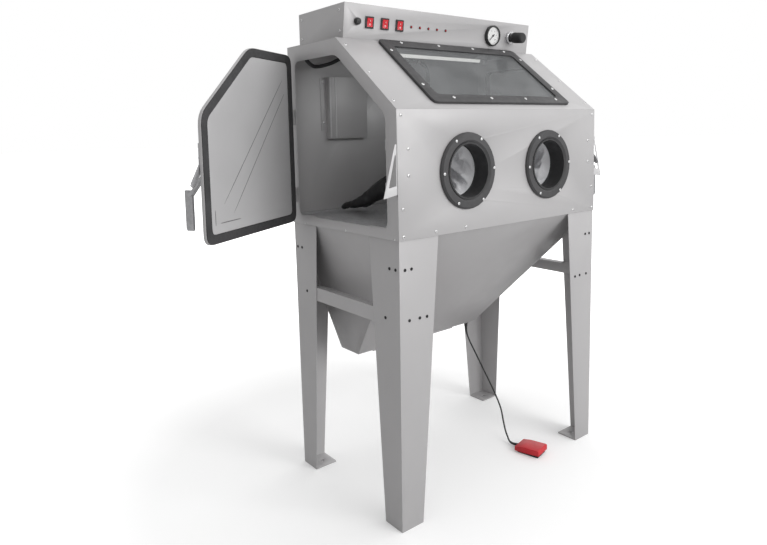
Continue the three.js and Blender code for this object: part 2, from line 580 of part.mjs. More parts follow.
// ---------------------------------------------------------------- control box
function buildControlBox() {
  const skin = (t) => [
    [BOX.frontLow + t, BOX.low - (t ? 5 : 0)], [BOX.frontHigh + t, BOX.high - t],
    [BOX.back - t, BOX.high - t], [BOX.back - t, BOX.low - (t ? 5 : 0)],
  ];
  const shell = cut(
    plateX(skin(0), -BOX.half, BOX.half),
    plateX(skin(SHEET), -BOX.half + SHEET, BOX.half - SHEET),
  );
  const [bw, bh] = SWITCHES.bezel;
  const through = (geometry) => geometry.rotateX(PANEL_TILT).translate(0, PANEL_MID.y, PANEL_MID.z);
  const holes = [
    ...SWITCHES.xs.map((x) => through(box(x - bw / 2 + 3, x + bw / 2 - 3, -10, 10, -bh / 2 + 3, bh / 2 - 3))),
    through(rod(8, 20, [0, 1, 0], [FUSE_X, -10, 0])),
    through(rod(GAUGE.r - 6, 20, [0, 1, 0], [GAUGE.x, -10, 0], 24)),
    through(rod(12, 20, [0, 1, 0], [KNOB.x, -10, 0])),
  ];
  add("control_box", cut(shell, ...holes), "paint");

  const panel = new THREE.Group(); // local -Y points out of the tilted face
  panel.position.set(0, PANEL_MID.y, PANEL_MID.z);
  panel.rotation.x = PANEL_TILT;
  cabinet.add(panel);

  SWITCHES.xs.forEach((x, i) => {
    const [rw, rh] = SWITCHES.rocker;
    const frame = plateY([[-bw / 2, -bh / 2], [bw / 2, -bh / 2], [bw / 2, bh / 2], [-bw / 2, bh / 2]],
      -5, -GAP, [outline([[-rw / 2 - 1, -rh / 2 - 1.5], [rw / 2 + 1, -rh / 2 - 1.5],
        [rw / 2 + 1, rh / 2 + 1.5], [-rw / 2 - 1, rh / 2 + 1.5]], 0, THREE.Path)]);
    add(`switch_bezel_${i + 1}`, frame.translate(x, 0, 0), "plastic", panel);
    const rocker = plateX([[9, -9], [9, 9], [-3, rh / 2], [-7.5, rh / 2], [-4.5, 0], [-6, -rh / 2], [-1, -rh / 2]],
      -rw / 2, rw / 2);
    add(`rocker_${i + 1}`, rocker.translate(x, 0, 0), "red", panel);
  });

  const fuse = turned([[0, 12], [6.5, 12], [6.5, -GAP], [12, -GAP], [12, -5], [9, -13], [0, -14]].reverse(),
    [0, 1, 0], [FUSE_X, 0, 0], 16);
  add("fuse_holder", fuse, "plastic", panel);

  const r = GAUGE.r;
  const gaugeCase = turned([
    [0, 20], [r - 8, 20], [r - 8, -GAP], [r, -GAP], [r, -GAUGE.proud + 3], [r - 2.5, -GAUGE.proud],
    [r - 5, -GAUGE.proud], [r - 5.5, -6], [3, -6], [3, 0], [0, 0],
  ].reverse(), [0, 1, 0], [GAUGE.x, 0, 0], 32);
  add("gauge_case", gaugeCase, "plastic", panel);
  const needle = join(
    rod(4, 2, [0, -1, 0], [0, -7.5, 0], 12),
    rod(1.6, 8, [0, -1, 0], [0, -1, 0], 8),
    box(-1.1, 1.1, -9.3, -8.3, -9, 26),
  );
  const pointer = add("gauge_needle", needle, "plastic", panel);
  pointer.position.x = GAUGE.x;
  pointer.rotation.y = THREE.MathUtils.degToRad(-135);

  const ring = turned([
    [5, -GAP], [KNOB.ringR, -GAP], [KNOB.ringR, -9], [KNOB.ringR - 3, -11], [5, -11], [5, -GAP],
  ].reverse(), [0, 1, 0], [KNOB.x, 0, 0], 24);
  add("regulator_nut", ring, "steel", panel);
  const k = KNOB.knobR;
  const knobProfile = [
    [0, 18], [4.4, 18], [4.4, -12], [k - 5, -12], [k - 3, -16], [k, -22], [k, -KNOB.reach + 4],
    [k - 4, -KNOB.reach], [0, -KNOB.reach],
  ];
  add("regulator_knob", turned(knobProfile.reverse(), [0, 1, 0], [KNOB.x, 0, 0], 20), "plastic", panel);
}

// ---------------------------------------------------------------- inside the chamber
function buildInside() {
  const [gx, gy] = [INNER_X - 6, INNER_BACK - 6];
  const { z, thick, bars, pitch, bar } = GRATE;
  const rim = cut(box(-gx, gx, -gy, gy, z, z + 6), box(-gx + 8, gx - 8, -gy + 8, gy - 8, z - 1, z + 7));
  const rows = Array.from({ length: bars }, (_, i) => {
    const x = (i - (bars - 1) / 2) * pitch;
    return box(x - bar / 2, x + bar / 2, -gy + 4, gy - 4, z + 1, z + 1 + thick);
  });
  const cross = [-150, 150].map((y) => box(-gx + 4, gx - 4, y - 4, y + 4, z + 0.5, z + 3));
  const clear = rod(PICKUP.r + 4, 30, [0, 0, 1], [PICKUP.x, PICKUP.y, z - 10]);
  add("work_grate", cut(join(rim, ...rows, ...cross), clear), "steel");

  const b = BAFFLE;
  const backFace = INNER_BACK;
  const cover = cut(
    box(b.x0, b.x1, backFace - b.depth, backFace, b.z0, b.z1),
    box(b.x0 + 1.5, b.x1 - 1.5, backFace - b.depth + 1.5, backFace + 1, b.z0 - 1, b.z1 - 1.5),
  );
  const tab = box(b.x0 - 26, b.x0 + 0.5, backFace - 1.5, backFace, b.z0 + 30, b.z1 - 4);
  add("air_baffle", join(cover, tab), "paint");

  const ceiling = ROOF - SHEET - GAP;
  const lampBody = plateX([
    [LAMP.y - 30, ceiling], [LAMP.y - 22, LAMP.z + 4], [LAMP.y - 18, LAMP.z + 4], [LAMP.y - 16, ceiling - 8],
    [LAMP.y + 16, ceiling - 8], [LAMP.y + 18, LAMP.z + 4], [LAMP.y + 22, LAMP.z + 4], [LAMP.y + 30, ceiling],
  ], -LAMP.half, LAMP.half);
  const caps = [-1, 1].map((s) => {
    const [x0, x1] = [s * LAMP.half - s * 12, s * LAMP.half].sort((p, q) => p - q);
    return box(x0, x1, LAMP.y - 20, LAMP.y + 20, LAMP.z - 12, ceiling - 4);
  });
  add("lamp_housing", join(lampBody, ...caps), "paint");
  add("lamp_tube", rod(8, 2 * LAMP.half - 25, [1, 0, 0], [-LAMP.half + 12.5, LAMP.y, LAMP.z + 2], 12), "lamp");

  const [x, y] = [GUN.x, GUN.y];
  const body = turned([
    [0, -118], [7, -118], [8, -92], [12, -88], [12, -44], [16, -40], [16, 26], [21, 30], [21, 44],
    [12, 50], [9, 72], [0, 72],
  ], [0, 0, 1], [x, y, GUN.z - 30 + 2], 20);
  const inlet = rod(8, 34, [1, 0, 0], [x + 8, y, GUN.z - 58], 12);
  add("blast_gun", join(body, inlet), "steel");

  const pickup = join(
    rod(PICKUP.r, PICKUP.high - PICKUP.low, [0, 0, 1], [PICKUP.x, PICKUP.y, PICKUP.low], 14),
    rod(PICKUP.r + 4, 14, [0, 0, 1], [PICKUP.x, PICKUP.y, PICKUP.high - 16], 14),
  );
  add("pickup_tube", pickup, "zinc");
  add("media_hose", pipe([
    [PICKUP.x, PICKUP.y, PICKUP.high + 0.4], [PICKUP.x, PICKUP.y, 1022], [211.8, 265.6, 1049.2],
    [230.7, 265, 1070], [249.6, 264, 1090.8], [256.4, 263, 1120], [252, 262.5, 1146.2], [239.4, 262, 1165],
    [220.6, 262, 1177.6], [x + 54, y, GUN.z - 58], [x + 42.4, y, GUN.z - 58],
  ], 8, 28), "rubber");
  add("blast_hose", pipe([
    [x, y, GUN.z + 44.5], [x, y, 1330], [x, y, 1400], [x, y, 1472], [142, 261.5, 1504], [122, 260.5, 1526],
    [90, 258, 1535], [20, 250, 1536], [-90, 248, 1527], [-200, 246, 1536], [-290, 246, 1531],
    [-355, 246, 1506], [-416, 244, 1492], [-444, 242, 1499.5], [-464.5, 240.5, 1520], [-472, 240, 1546],
    [-472, 240, ceiling - GAP],
  ], 7, 60), "rubber");

  add("dust_outlet", turned([
    [DUCT.bore, 0], [DUCT.r + 16, 0], [DUCT.r + 16, 3], [DUCT.r, 3], [DUCT.r, DUCT.length],
    [DUCT.bore, DUCT.length], [DUCT.bore, 0],
  ], [0, 1, 0], [DUCT.x, BACK_Y + GAP, DUCT.z], 36), "zinc");
  add("air_inlet", turned([
    [0, 0], [14, 0], [14, 10], [10, 12], [10, 20], [7, 22], [7, 34], [5, 38], [0, 38],
  ], [0, 1, 0], [KNOB.x, BOX.back + GAP, PANEL_MID.z], 12), "steel");
}

// ---------------------------------------------------------------- foot pedal and its cord
function buildPedal() {
  const { width, length, high } = PEDAL;
  const [w, l] = [width / 2, length / 2];
  const pedal = new THREE.Group(); // the cord enters at local +Y
  pedal.position.set(PEDAL.x, PEDAL.y, 0);
  pedal.rotation.z = THREE.MathUtils.degToRad(PEDAL.turn);
  cabinet.add(pedal);
  const outside = [
    [-l, 11], [-l, high - 3], [-l + 4, high], [l - 36, high - 3], [l - 4, high - 9], [l - 4, 6], [l - 36, 6],
  ];
  const inside = [[-l + 3, 0], [-l + 3, high - 5], [l - 36, high - 7], [l - 7, high - 13], [l - 7, 0]];
  const cap = cut(plateX(outside, -w, w), plateX(inside, -w + 3, w - 3));
  const lug = box(-w + 2, w - 2, l - 12, l - 5, 12, high - 12);
  const cordWay = box(-9, 9, l - 20, l + 4, 2, 20);
  add("pedal_treadle", cut(join(cap, lug), cordWay), "red", pedal);
  const tray = join(
    box(-w + 5, w - 5, -l + 6, l - 14, 0, 7),
    box(-12, 12, l - 40, l - 14, 5, 17),
    rod(6, 20, [0, 1, 0], [0, l - 15, 11], 12),
  );
  add("pedal_base", tray, "plastic", pedal);
}

function buildCord() {
  const exitZ = HOPPER.z - GAP - SHEET - GAP;
  const gland = turned([[0, 0], [11, 0], [11, -6], [8, -9], [7, -22], [0, -22]].reverse(),
    [0, 0, 1], [GLAND.x, GLAND.y, exitZ], 12);
  add("cord_gland", gland, "plastic");
  add("pedal_cord", pipe(CORD_ROUTE, CORD_R, 76), "plastic");
}

// Down from the gland, forward to the floor behind the pedal, and into the pedal's rear stub.
const CORD_ROUTE = [
  [GLAND.x, GLAND.y, 387], [284.5, 188, 371], [281, 178, 352], [276, 158, 328], [269, 126, 298],
  [262, 92, 266], [254, 56, 232], [246, 20, 199], [239, -13, 166], [233, -42, 132], [225.8, -63, 107],
  [218.9, -81, 64.7], [210.9, -98, 36.3], [203.3, -116, 18.9], [192.7, -135, 10.6],
];

function pedalEntry() {
  const turn = THREE.MathUtils.degToRad(PEDAL.turn);
  const reach = PEDAL.length / 2 + 5 + GAP;
  const end = [PEDAL.x - reach * Math.sin(turn), PEDAL.y + reach * Math.cos(turn), 11];
  const lead = [end[0] - 17 * Math.sin(turn), end[1] + 17 * Math.cos(turn), 9.7];
  return [lead, end];
}

buildPanels();
buildHopper();
buildStand();
buildWindow();
buildGlovePorts();
buildDoors();
buildCatches();
buildControlBox();
buildInside();
buildPedal();
CORD_ROUTE.push(...pedalEntry());
buildCord();

// The origin is under the middle of the cabinet's own box, on the floor, without the cord and pedal.
const onCord = ["pedal_cord", "pedal_base", "pedal_treadle", "cord_gland"];
const bounds = new THREE.Box3();
cabinet.updateMatrixWorld(true);
cabinet.traverse((node) => {
  if (node.isMesh && !onCord.includes(node.name)) bounds.expandByObject(node, true);
});
const middle = bounds.getCenter(new THREE.Vector3());
cabinet.position.set(-middle.x, -middle.y, 0);

const sandblastCabinet = new THREE.Group();
sandblastCabinet.add(cabinet);
export default sandblastCabinet;
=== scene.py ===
"""Looks of the sandblast cabinet around its CAD frame: materials, screws, dial, gloves, hoses and cord."""

import math

import bmesh
import bpy
import numpy as np
from mathutils import Matrix, Vector, noise


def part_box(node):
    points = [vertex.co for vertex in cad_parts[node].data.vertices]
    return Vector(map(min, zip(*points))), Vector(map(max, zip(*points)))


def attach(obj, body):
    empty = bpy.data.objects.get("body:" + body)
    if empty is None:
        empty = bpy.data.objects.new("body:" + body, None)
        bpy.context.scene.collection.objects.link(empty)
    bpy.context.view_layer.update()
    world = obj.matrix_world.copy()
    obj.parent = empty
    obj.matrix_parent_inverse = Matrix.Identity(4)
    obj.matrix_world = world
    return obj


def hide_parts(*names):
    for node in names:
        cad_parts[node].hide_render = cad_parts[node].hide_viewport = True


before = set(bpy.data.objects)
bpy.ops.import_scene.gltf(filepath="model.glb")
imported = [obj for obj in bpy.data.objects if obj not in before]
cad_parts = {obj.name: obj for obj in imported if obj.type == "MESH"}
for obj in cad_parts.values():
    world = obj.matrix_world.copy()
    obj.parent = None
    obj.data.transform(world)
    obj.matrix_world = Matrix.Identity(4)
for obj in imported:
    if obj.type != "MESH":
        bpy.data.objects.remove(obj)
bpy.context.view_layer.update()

# ---------------------------------------------------------------- driving dimensions
# Millimetres about the chamber's middle, Z up from the floor, the front facing -Y.
FRONT_Y, HALF_W = -305, 500
FRONT_TOP, ROOF, ROOF_FRONT_Y = 1317, 1561, -2
SLOPE = math.atan2(ROOF - FRONT_TOP, ROOF_FRONT_Y - FRONT_Y)
PORT_X, PORT_Z = 206, 1120
HINGE_X, HINGE_Y, DOOR_OPEN = 508, 272, math.radians(59)
DOORWAY = {"low": 956, "high": 1506, "front": -252, "back": 264}
DOOR_LAP = 22.0
PANEL_LOW, PANEL_HIGH = (1.5, 1561.3), (-13.8, 1675)  # the control panel's edges, as y and z
FUSE_X, ROCKER_X, GAUGE_X, KNOB_X = -413, (-362, -296, -230), 247, 354
INDICATOR_X = (-175, -134, -92, -50, -6)
GUN_X, GUN_Y = 150, 262
PEDAL_AT, PEDAL_TURN = (205, -228), math.radians(12)
CORD_R = 3.2

front_low, front_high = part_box("front_panel")
ORIGIN = Vector(((front_low.x + front_high.x) / 2, front_low.y - FRONT_Y / 1000, 0))


def at(x, y, z):
    """A point of the chamber's own millimetres, in the frame's metres."""
    return ORIGIN + Vector((x, y, z)) / 1000


def place(x, y, z):
    return Matrix.Translation(at(x, y, z))


def facing(point, out, up=(0, 0, 1)):
    """A frame at a point: local Z looks out of the face, local Y as near up as it can."""
    z = Vector(out).normalized()
    x = Vector(up).cross(z).normalized()
    rotation = Matrix((x, z.cross(x), z)).transposed()
    return Matrix.Translation(point) @ rotation.to_4x4()


def on_front(x, z, proud=0.0):
    return facing(at(x, FRONT_Y - proud, z), (0, -1, 0))


def on_slope(x, s, proud=0.0):
    out = Vector((0, -math.sin(SLOPE), math.cos(SLOPE)))
    along = Vector((0, math.cos(SLOPE), math.sin(SLOPE)))
    return facing(at(x, FRONT_Y, FRONT_TOP) + (along * s + out * proud) / 1000, out, along)


def on_panel(x, up=0.0, proud=0.0):
    tilt = math.atan2(PANEL_LOW[0] - PANEL_HIGH[0], PANEL_HIGH[1] - PANEL_LOW[1])
    out = Vector((0, -math.cos(tilt), -math.sin(tilt)))
    along = Vector((0, -math.sin(tilt), math.cos(tilt)))
    middle = at(x, (PANEL_LOW[0] + PANEL_HIGH[0]) / 2, (PANEL_LOW[1] + PANEL_HIGH[1]) / 2)
    return facing(middle + (along * up + out * proud) / 1000, out, along)


def door_frame(side):
    """Takes a door's own closed-door millimetres, hinge axis at x = y = 0 and inward +X, to the frame."""
    turn = Matrix.Rotation(-DOOR_OPEN if side < 0 else 0.0, 4, "Z")
    return place(side * HINGE_X, HINGE_Y, 0) @ turn @ Matrix.Diagonal((-side, 1, 1, 1))


# ---------------------------------------------------------------- camera and light
def make_camera():
    yaw, pitch, roll = (math.radians(a) for a in (38.43, -5.51, -1.34))
    forward = Vector((math.sin(yaw) * math.cos(pitch), math.cos(yaw) * math.cos(pitch), math.sin(pitch)))
    right = Vector((math.cos(yaw), -math.sin(yaw), 0))
    up = right.cross(forward)
    camera_x = right * math.cos(roll) + up * math.sin(roll)
    camera_y = -right * math.sin(roll) + up * math.cos(roll)
    camera = bpy.data.objects.new("camera", bpy.data.cameras.new("camera"))
    bpy.context.scene.collection.objects.link(camera)
    rotation = Matrix((camera_x, camera_y, -forward)).transposed()
    camera.matrix_world = Matrix.Translation(at(-1691.9, -1738.5, 1254.9)) @ rotation.to_4x4()
    camera.data.sensor_width = 36
    camera.data.lens = 29.84
    camera.data.shift_y = -0.105
    camera.data.clip_end = 60
    bpy.context.scene.camera = camera


def area_light(name, position, target, size, power):
    light = bpy.data.lights.new(name, "AREA")
    light.shape, light.size, light.energy = "SQUARE", size, power
    lamp = bpy.data.objects.new(name, light)
    bpy.context.scene.collection.objects.link(lamp)
    lamp.matrix_world = facing(Vector(position), Vector(position) - Vector(target), (0, 0.01, 1))


def make_studio():
    scene = bpy.context.scene
    scene.view_settings.view_transform = "Standard"
    world = bpy.data.worlds.new("studio")
    scene.world = world
    world.use_nodes = True
    tree = world.node_tree
    tree.nodes.clear()
    rays = tree.nodes.new("ShaderNodeLightPath")
    direction = tree.nodes.new("ShaderNodeTexCoord")
    dimmed = tree.nodes.new("ShaderNodeVectorMath")
    dimmed.operation = "DOT_PRODUCT"
    dimmed.inputs[1].default_value = (0.9, -0.34, -0.4)
    side = tree.nodes.new("ShaderNodeMapRange")
    side.inputs["From Min"].default_value = -0.9
    side.inputs["From Max"].default_value = 0.5
    side.inputs["To Min"].default_value = 0.52
    side.inputs["To Max"].default_value = 1.2
    strength = tree.nodes.new("ShaderNodeMix")
    strength.inputs["B"].default_value = 1.0
    background = tree.nodes.new("ShaderNodeBackground")
    background.inputs["Color"].default_value = (1, 1, 1, 1)
    output = tree.nodes.new("ShaderNodeOutputWorld")
    tree.links.new(direction.outputs["Generated"], dimmed.inputs[0])
    tree.links.new(dimmed.outputs["Value"], side.inputs["Value"])
    tree.links.new(rays.outputs["Is Camera Ray"], strength.inputs["Factor"])
    tree.links.new(side.outputs[0], strength.inputs["A"])
    tree.links.new(strength.outputs[0], background.inputs["Strength"])
    tree.links.new(background.outputs[0], output.inputs["Surface"])

    middle = (ORIGIN.x, ORIGIN.y, 1.0)
    area_light("key_light", (1.4, -4.6, 2.6), middle, 2.8, 100)
    area_light("top_light", (0.0, 0.2, 4.6), middle, 4.0, 22)

    mesh = bpy.data.meshes.new("floor")
    r = 60
    mesh.from_pydata([(-r, -r, 0), (r, -r, 0), (r, r, 0), (-r, r, 0)], [], [(0, 1, 2, 3)])
    floor = bpy.data.objects.new("floor", mesh)
    scene.collection.objects.link(floor)
    mesh.materials.append(floor_white())


# ---------------------------------------------------------------- materials
class Shader:
    """A material's node tree, built one node at a time."""

    def __init__(self, name):
        self.material = bpy.data.materials.new(name)
        self.material.use_nodes = True
        self.tree = self.material.node_tree
        self.bsdf = self.tree.nodes["Principled BSDF"]
        self.coordinates = self.add("ShaderNodeTexCoord").outputs["Object"]

    def add(self, kind, inputs=None, **properties):
        node = self.tree.nodes.new(kind)
        for key, value in properties.items():
            setattr(node, key, value)
        for key, value in (inputs or {}).items():
            if isinstance(value, bpy.types.NodeSocket):
                self.tree.links.new(value, node.inputs[key])
            else:
                node.inputs[key].default_value = value
        return node

    def set(self, **inputs):
        for key, value in inputs.items():
            socket = self.bsdf.inputs[key.replace("_", " ")]
            if isinstance(value, bpy.types.NodeSocket):
                self.tree.links.new(value, socket)
            else:
                socket.default_value = value

    def noise(self, scale, detail=3.0, stretch=(1, 1, 1)):
        mapping = self.add("ShaderNodeMapping", {"Vector": self.coordinates, "Scale": stretch})
        place_in = {"Vector": mapping.outputs[0], "Scale": scale, "Detail": detail}
        texture = self.add("ShaderNodeTexNoise", place_in)
        return texture.outputs["Fac"]

    def ramp(self, value, low, high):
        remap = self.add("ShaderNodeMapRange", {"Value": value, "To Min": low, "To Max": high})
        remap.inputs["From Min"].default_value = 0.3
        remap.inputs["From Max"].default_value = 0.7
        return remap.outputs[0]

    def mix(self, factor, first, second):
        node = self.add("ShaderNodeMix", data_type="RGBA")
        for index, value in ((0, factor), (6, first), (7, second)):
            if isinstance(value, bpy.types.NodeSocket):
                self.tree.links.new(value, node.inputs[index])
            else:
                node.inputs[index].default_value = (*value, 1) if index else value
        return node.outputs[2]

    def bump(self, height, distance, strength=1.0, below=None):
        node = self.add("ShaderNodeBump", {"Height": height, "Distance": distance, "Strength": strength})
        if below is not None:
            self.tree.links.new(below, node.inputs["Normal"])
        return node.outputs[0]


def scaled(color, factor):
    return tuple(min(1.0, c * factor) for c in color)


def surface(name, color, roughness, metallic=0.0, grain=(400, 0.00003), patch=(3.0, 0.05), **more):
    """A moulded or rolled surface: colour that drifts a little, uneven gloss and a fine grain."""
    shader = Shader(name)
    drift = shader.ramp(shader.noise(patch[0]), 0.0, 1.0)
    shader.set(Base_Color=shader.mix(drift, scaled(color, 1 - patch[1]), scaled(color, 1 + patch[1])))
    shader.set(Roughness=shader.ramp(shader.noise(patch[0] * 7), roughness * 0.88, roughness * 1.12))
    shader.set(Metallic=metallic, Normal=shader.bump(shader.noise(grain[0], 2), grain[1]))
    shader.set(**more)
    return shader.material


def floor_white():
    """A matt floor, shadowed near the object and white far from it, that bounces little light."""
    shader = Shader("floor_white")
    seen = shader.add("ShaderNodeLightPath").outputs["Is Camera Ray"]
    away = shader.add("ShaderNodeVectorMath", {0: shader.coordinates}, operation="LENGTH").outputs["Value"]
    fade = shader.add("ShaderNodeMapRange", {"Value": away, "From Min": 0.9, "From Max": 3.2, "To Min": 0.12})
    glow = shader.add("ShaderNodeMath", {0: fade.outputs[0], 1: seen}, operation="MULTIPLY").outputs[0]
    shader.set(Base_Color=shader.mix(seen, (0.6, 0.6, 0.6), (0.92, 0.92, 0.92)), Roughness=0.9)
    shader.set(Specular_IOR_Level=0.0, Emission_Color=(1, 1, 1, 1), Emission_Strength=glow)
    return shader.material


def powder_coat(name, color):
    """Satin powder coat: orange-peel bump, faint patches, and a painted highlight that makes the edges a
    little brighter.
    """
    shader = Shader(name)
    drift = shader.ramp(shader.noise(2.2, 4), 0.0, 1.0)
    base = shader.mix(drift, scaled(color, 0.955), scaled(color, 1.035))
    scuffs = shader.noise(9, 6, (1, 1, 0.35))
    worn = {"Value": scuffs, "From Min": 0.62, "From Max": 0.74, "To Max": 0.16}
    scuff = shader.add("ShaderNodeMapRange", worn)
    base = shader.mix(scuff.outputs[0], base, scaled(color, 0.8))
    # Painted highlight: where the rounded normal turns away from the true one, the colour is lightened,
    # standing in for light on the edges.
    rounded = shader.add("ShaderNodeBevel", {"Radius": 0.0012}, samples=4).outputs[0]
    true = shader.add("ShaderNodeNewGeometry").outputs["Normal"]
    same = shader.add("ShaderNodeVectorMath", {0: rounded, 1: true}, operation="DOT_PRODUCT").outputs["Value"]
    painted_highlight_range = {"Value": same, "From Min": 0.99, "From Max": 0.8, "To Max": 0.45}
    edge = shader.add("ShaderNodeMapRange", painted_highlight_range)
    shader.set(Base_Color=shader.mix(edge.outputs[0], base, scaled(color, 1.3)))
    shader.set(Roughness=shader.ramp(shader.noise(14, 3), 0.36, 0.5))
    peel = shader.bump(shader.noise(420, 2), 0.00006)
    shader.set(Normal=shader.bump(shader.noise(7, 2), 0.0012, 0.35, peel), Metallic=0.12)
    shader.set(Coat_Weight=0.12, Coat_Roughness=0.3)
    return shader.material


def brushed(name, color, roughness, stretch):
    shader = Shader(name)
    lines = shader.noise(60, 4, stretch)
    shader.set(Base_Color=shader.mix(shader.ramp(lines, 0, 1), scaled(color, 0.82), scaled(color, 1.12)))
    shader.set(Roughness=shader.ramp(lines, roughness * 0.8, roughness * 1.25), Metallic=0.92)
    shader.set(Normal=shader.bump(lines, 0.00005))
    return shader.material


def zinc_plate(name, color):
    """Dull plated steel with a faint spangle."""
    shader = Shader(name)
    cells = shader.add("ShaderNodeTexVoronoi", {"Vector": shader.coordinates, "Scale": 130.0})
    spangle = shader.add("ShaderNodeRGBToBW", {0: cells.outputs["Color"]}).outputs[0]
    shader.set(Base_Color=shader.mix(spangle, scaled(color, 0.86), scaled(color, 1.1)), Metallic=0.85)
    shader.set(Roughness=shader.ramp(shader.noise(30), 0.32, 0.46))
    shader.set(Normal=shader.bump(shader.noise(300), 0.00004))
    return shader.material


def woven(name, color, pitch, sheen=0.3):
    """Coated woven cloth: two crossing threads, with the light catching them unevenly."""
    shader = Shader(name)
    threads = [
        shader.add("ShaderNodeTexWave", {"Vector": shader.coordinates, "Scale": pitch, "Distortion": 0.6},
                   bands_direction=way).outputs["Fac"] for way in ("Z", "DIAGONAL")]
    weave = shader.add("ShaderNodeMath", {0: threads[0], 1: threads[1]}, operation="MULTIPLY").outputs[0]
    soil = shader.ramp(shader.noise(11, 5), 0, 1)
    base = shader.mix(soil, scaled(color, 0.74), scaled(color, 1.12))
    shader.set(Base_Color=shader.mix(weave, scaled(color, 0.78), base), Roughness=0.62)
    folds = shader.bump(shader.noise(40, 3), 0.0012, 0.6)
    shader.set(Normal=shader.bump(weave, 0.00025, 0.8, folds), Sheen_Weight=sheen, Metallic=0.0)
    return shader.material


def clear_pane(name, tint, density):
    """A clear pane with a faint film of dust that lets most light straight through."""
    shader = Shader(name)
    tree = shader.tree
    through = shader.add("ShaderNodeBsdfTransparent", {"Color": (*tint, 1)})
    film = shader.ramp(shader.noise(9, 5), density * 0.8, density * 1.2)
    shader.set(Base_Color=(0.42, 0.43, 0.44, 1), Roughness=shader.ramp(shader.noise(16, 4), 0.05, 0.14))
    shader.set(Specular_IOR_Level=0.6)
    blend = tree.nodes.new("ShaderNodeMixShader")
    output = next(node for node in tree.nodes if node.type == "OUTPUT_MATERIAL")
    tree.links.new(film, blend.inputs[0])
    tree.links.new(through.outputs[0], blend.inputs[1])
    tree.links.new(shader.bsdf.outputs[0], blend.inputs[2])
    tree.links.new(blend.outputs[0], output.inputs["Surface"])
    return shader.material


PAINT = powder_coat("paint_grey", (0.44, 0.432, 0.436))
# A lighter copy of the grey paint: painted light on the door liners and baffle ribs, brightening them against
# the shade they sit in.
LIT_PAINT_COPY = powder_coat("paint_lit_copy", (0.54, 0.535, 0.54))
ZINC = zinc_plate("zinc_plate", (0.5, 0.5, 0.51))
BRIGHT = brushed("bright_steel", (0.66, 0.66, 0.67), 0.28, (1, 9, 1))
GRATE_STEEL = brushed("grate_steel", (0.8, 0.8, 0.81), 0.5, (8, 0.6, 8))
CATCH_PAINT = powder_coat("paint_catch", (0.6, 0.595, 0.6))
# Painted shade: the dark colour of the liner's pressed creases stands in for the shade along them.
CREASE_SHADE = powder_coat("paint_crease_shade", (0.2, 0.197, 0.2))
COLLAR = surface("collar_black", (0.024, 0.024, 0.025), 0.6, grain=(650, 0.00012), patch=(8, 0.18))
SCREW = surface("screw_zinc", (0.78, 0.78, 0.78), 0.28, 0.9, grain=(900, 0.00002))
WHITE_SCREW = surface("screw_white", (0.86, 0.86, 0.86), 0.34, 0.2, grain=(900, 0.00002))
# Painted shade: the near-black of the screws' cross recesses, drawn as a thin raised cross on the dome.
RECESS_SHADE = surface("screw_recess_shade", (0.03, 0.03, 0.03), 0.7, 0.3, grain=(900, 0.00002))
RUBBER = surface("rubber_black", (0.05, 0.049, 0.051), 0.6, grain=(650, 0.00012), patch=(8, 0.18))
SEAL_RUBBER = surface("rubber_foam", (0.05, 0.049, 0.051), 0.8, grain=(900, 0.0003), patch=(12, 0.2))
PLASTIC = surface("plastic_black", (0.018, 0.018, 0.019), 0.4, grain=(700, 0.00006), patch=(9, 0.15))
HOSE = surface("hose_rubber", (0.028, 0.028, 0.03), 0.5, grain=(500, 0.00015), patch=(10, 0.15))
CORD_BLACK = surface("cord_jacket", (0.022, 0.022, 0.023), 0.45, grain=(800, 0.00004), patch=(12, 0.15))
RED = surface("red_gloss", (0.62, 0.018, 0.03), 0.24, grain=(500, 0.00003), Coat_Weight=0.3)
PEDAL_RED = surface("pedal_red", (0.56, 0.02, 0.03), 0.42, grain=(600, 0.0001), patch=(14, 0.12))
DIAL_WHITE = surface("dial_white", (0.86, 0.86, 0.85), 0.5, grain=(900, 0.00001))
INK = surface("dial_ink", (0.015, 0.015, 0.015), 0.6, grain=(900, 0.00001))
LED_RED = surface("lens_red", (0.34, 0.012, 0.016), 0.15, grain=(600, 0.00001), Coat_Weight=0.5)
SLEEVE = woven("sleeve_cloth", (0.78, 0.78, 0.8), 420, 0.1)
GLOVE = surface("glove_rubber", (0.016, 0.016, 0.017), 0.5, grain=(240, 0.0004), patch=(18, 0.25))
HOLE_DARK = surface("hole_dark", (0.02, 0.02, 0.021), 0.8, grain=(700, 0.00003))
WINDOW_GLASS = clear_pane("window_clear", (0.86, 0.87, 0.87), 0.2)
GAUGE_GLASS = clear_pane("gauge_clear", (0.97, 0.97, 0.97), 0.06)
TUBE = surface("tube_opal", (0.9, 0.9, 0.88), 0.2, Emission_Color=(1, 0.98, 0.95, 1), Emission_Strength=0.8)


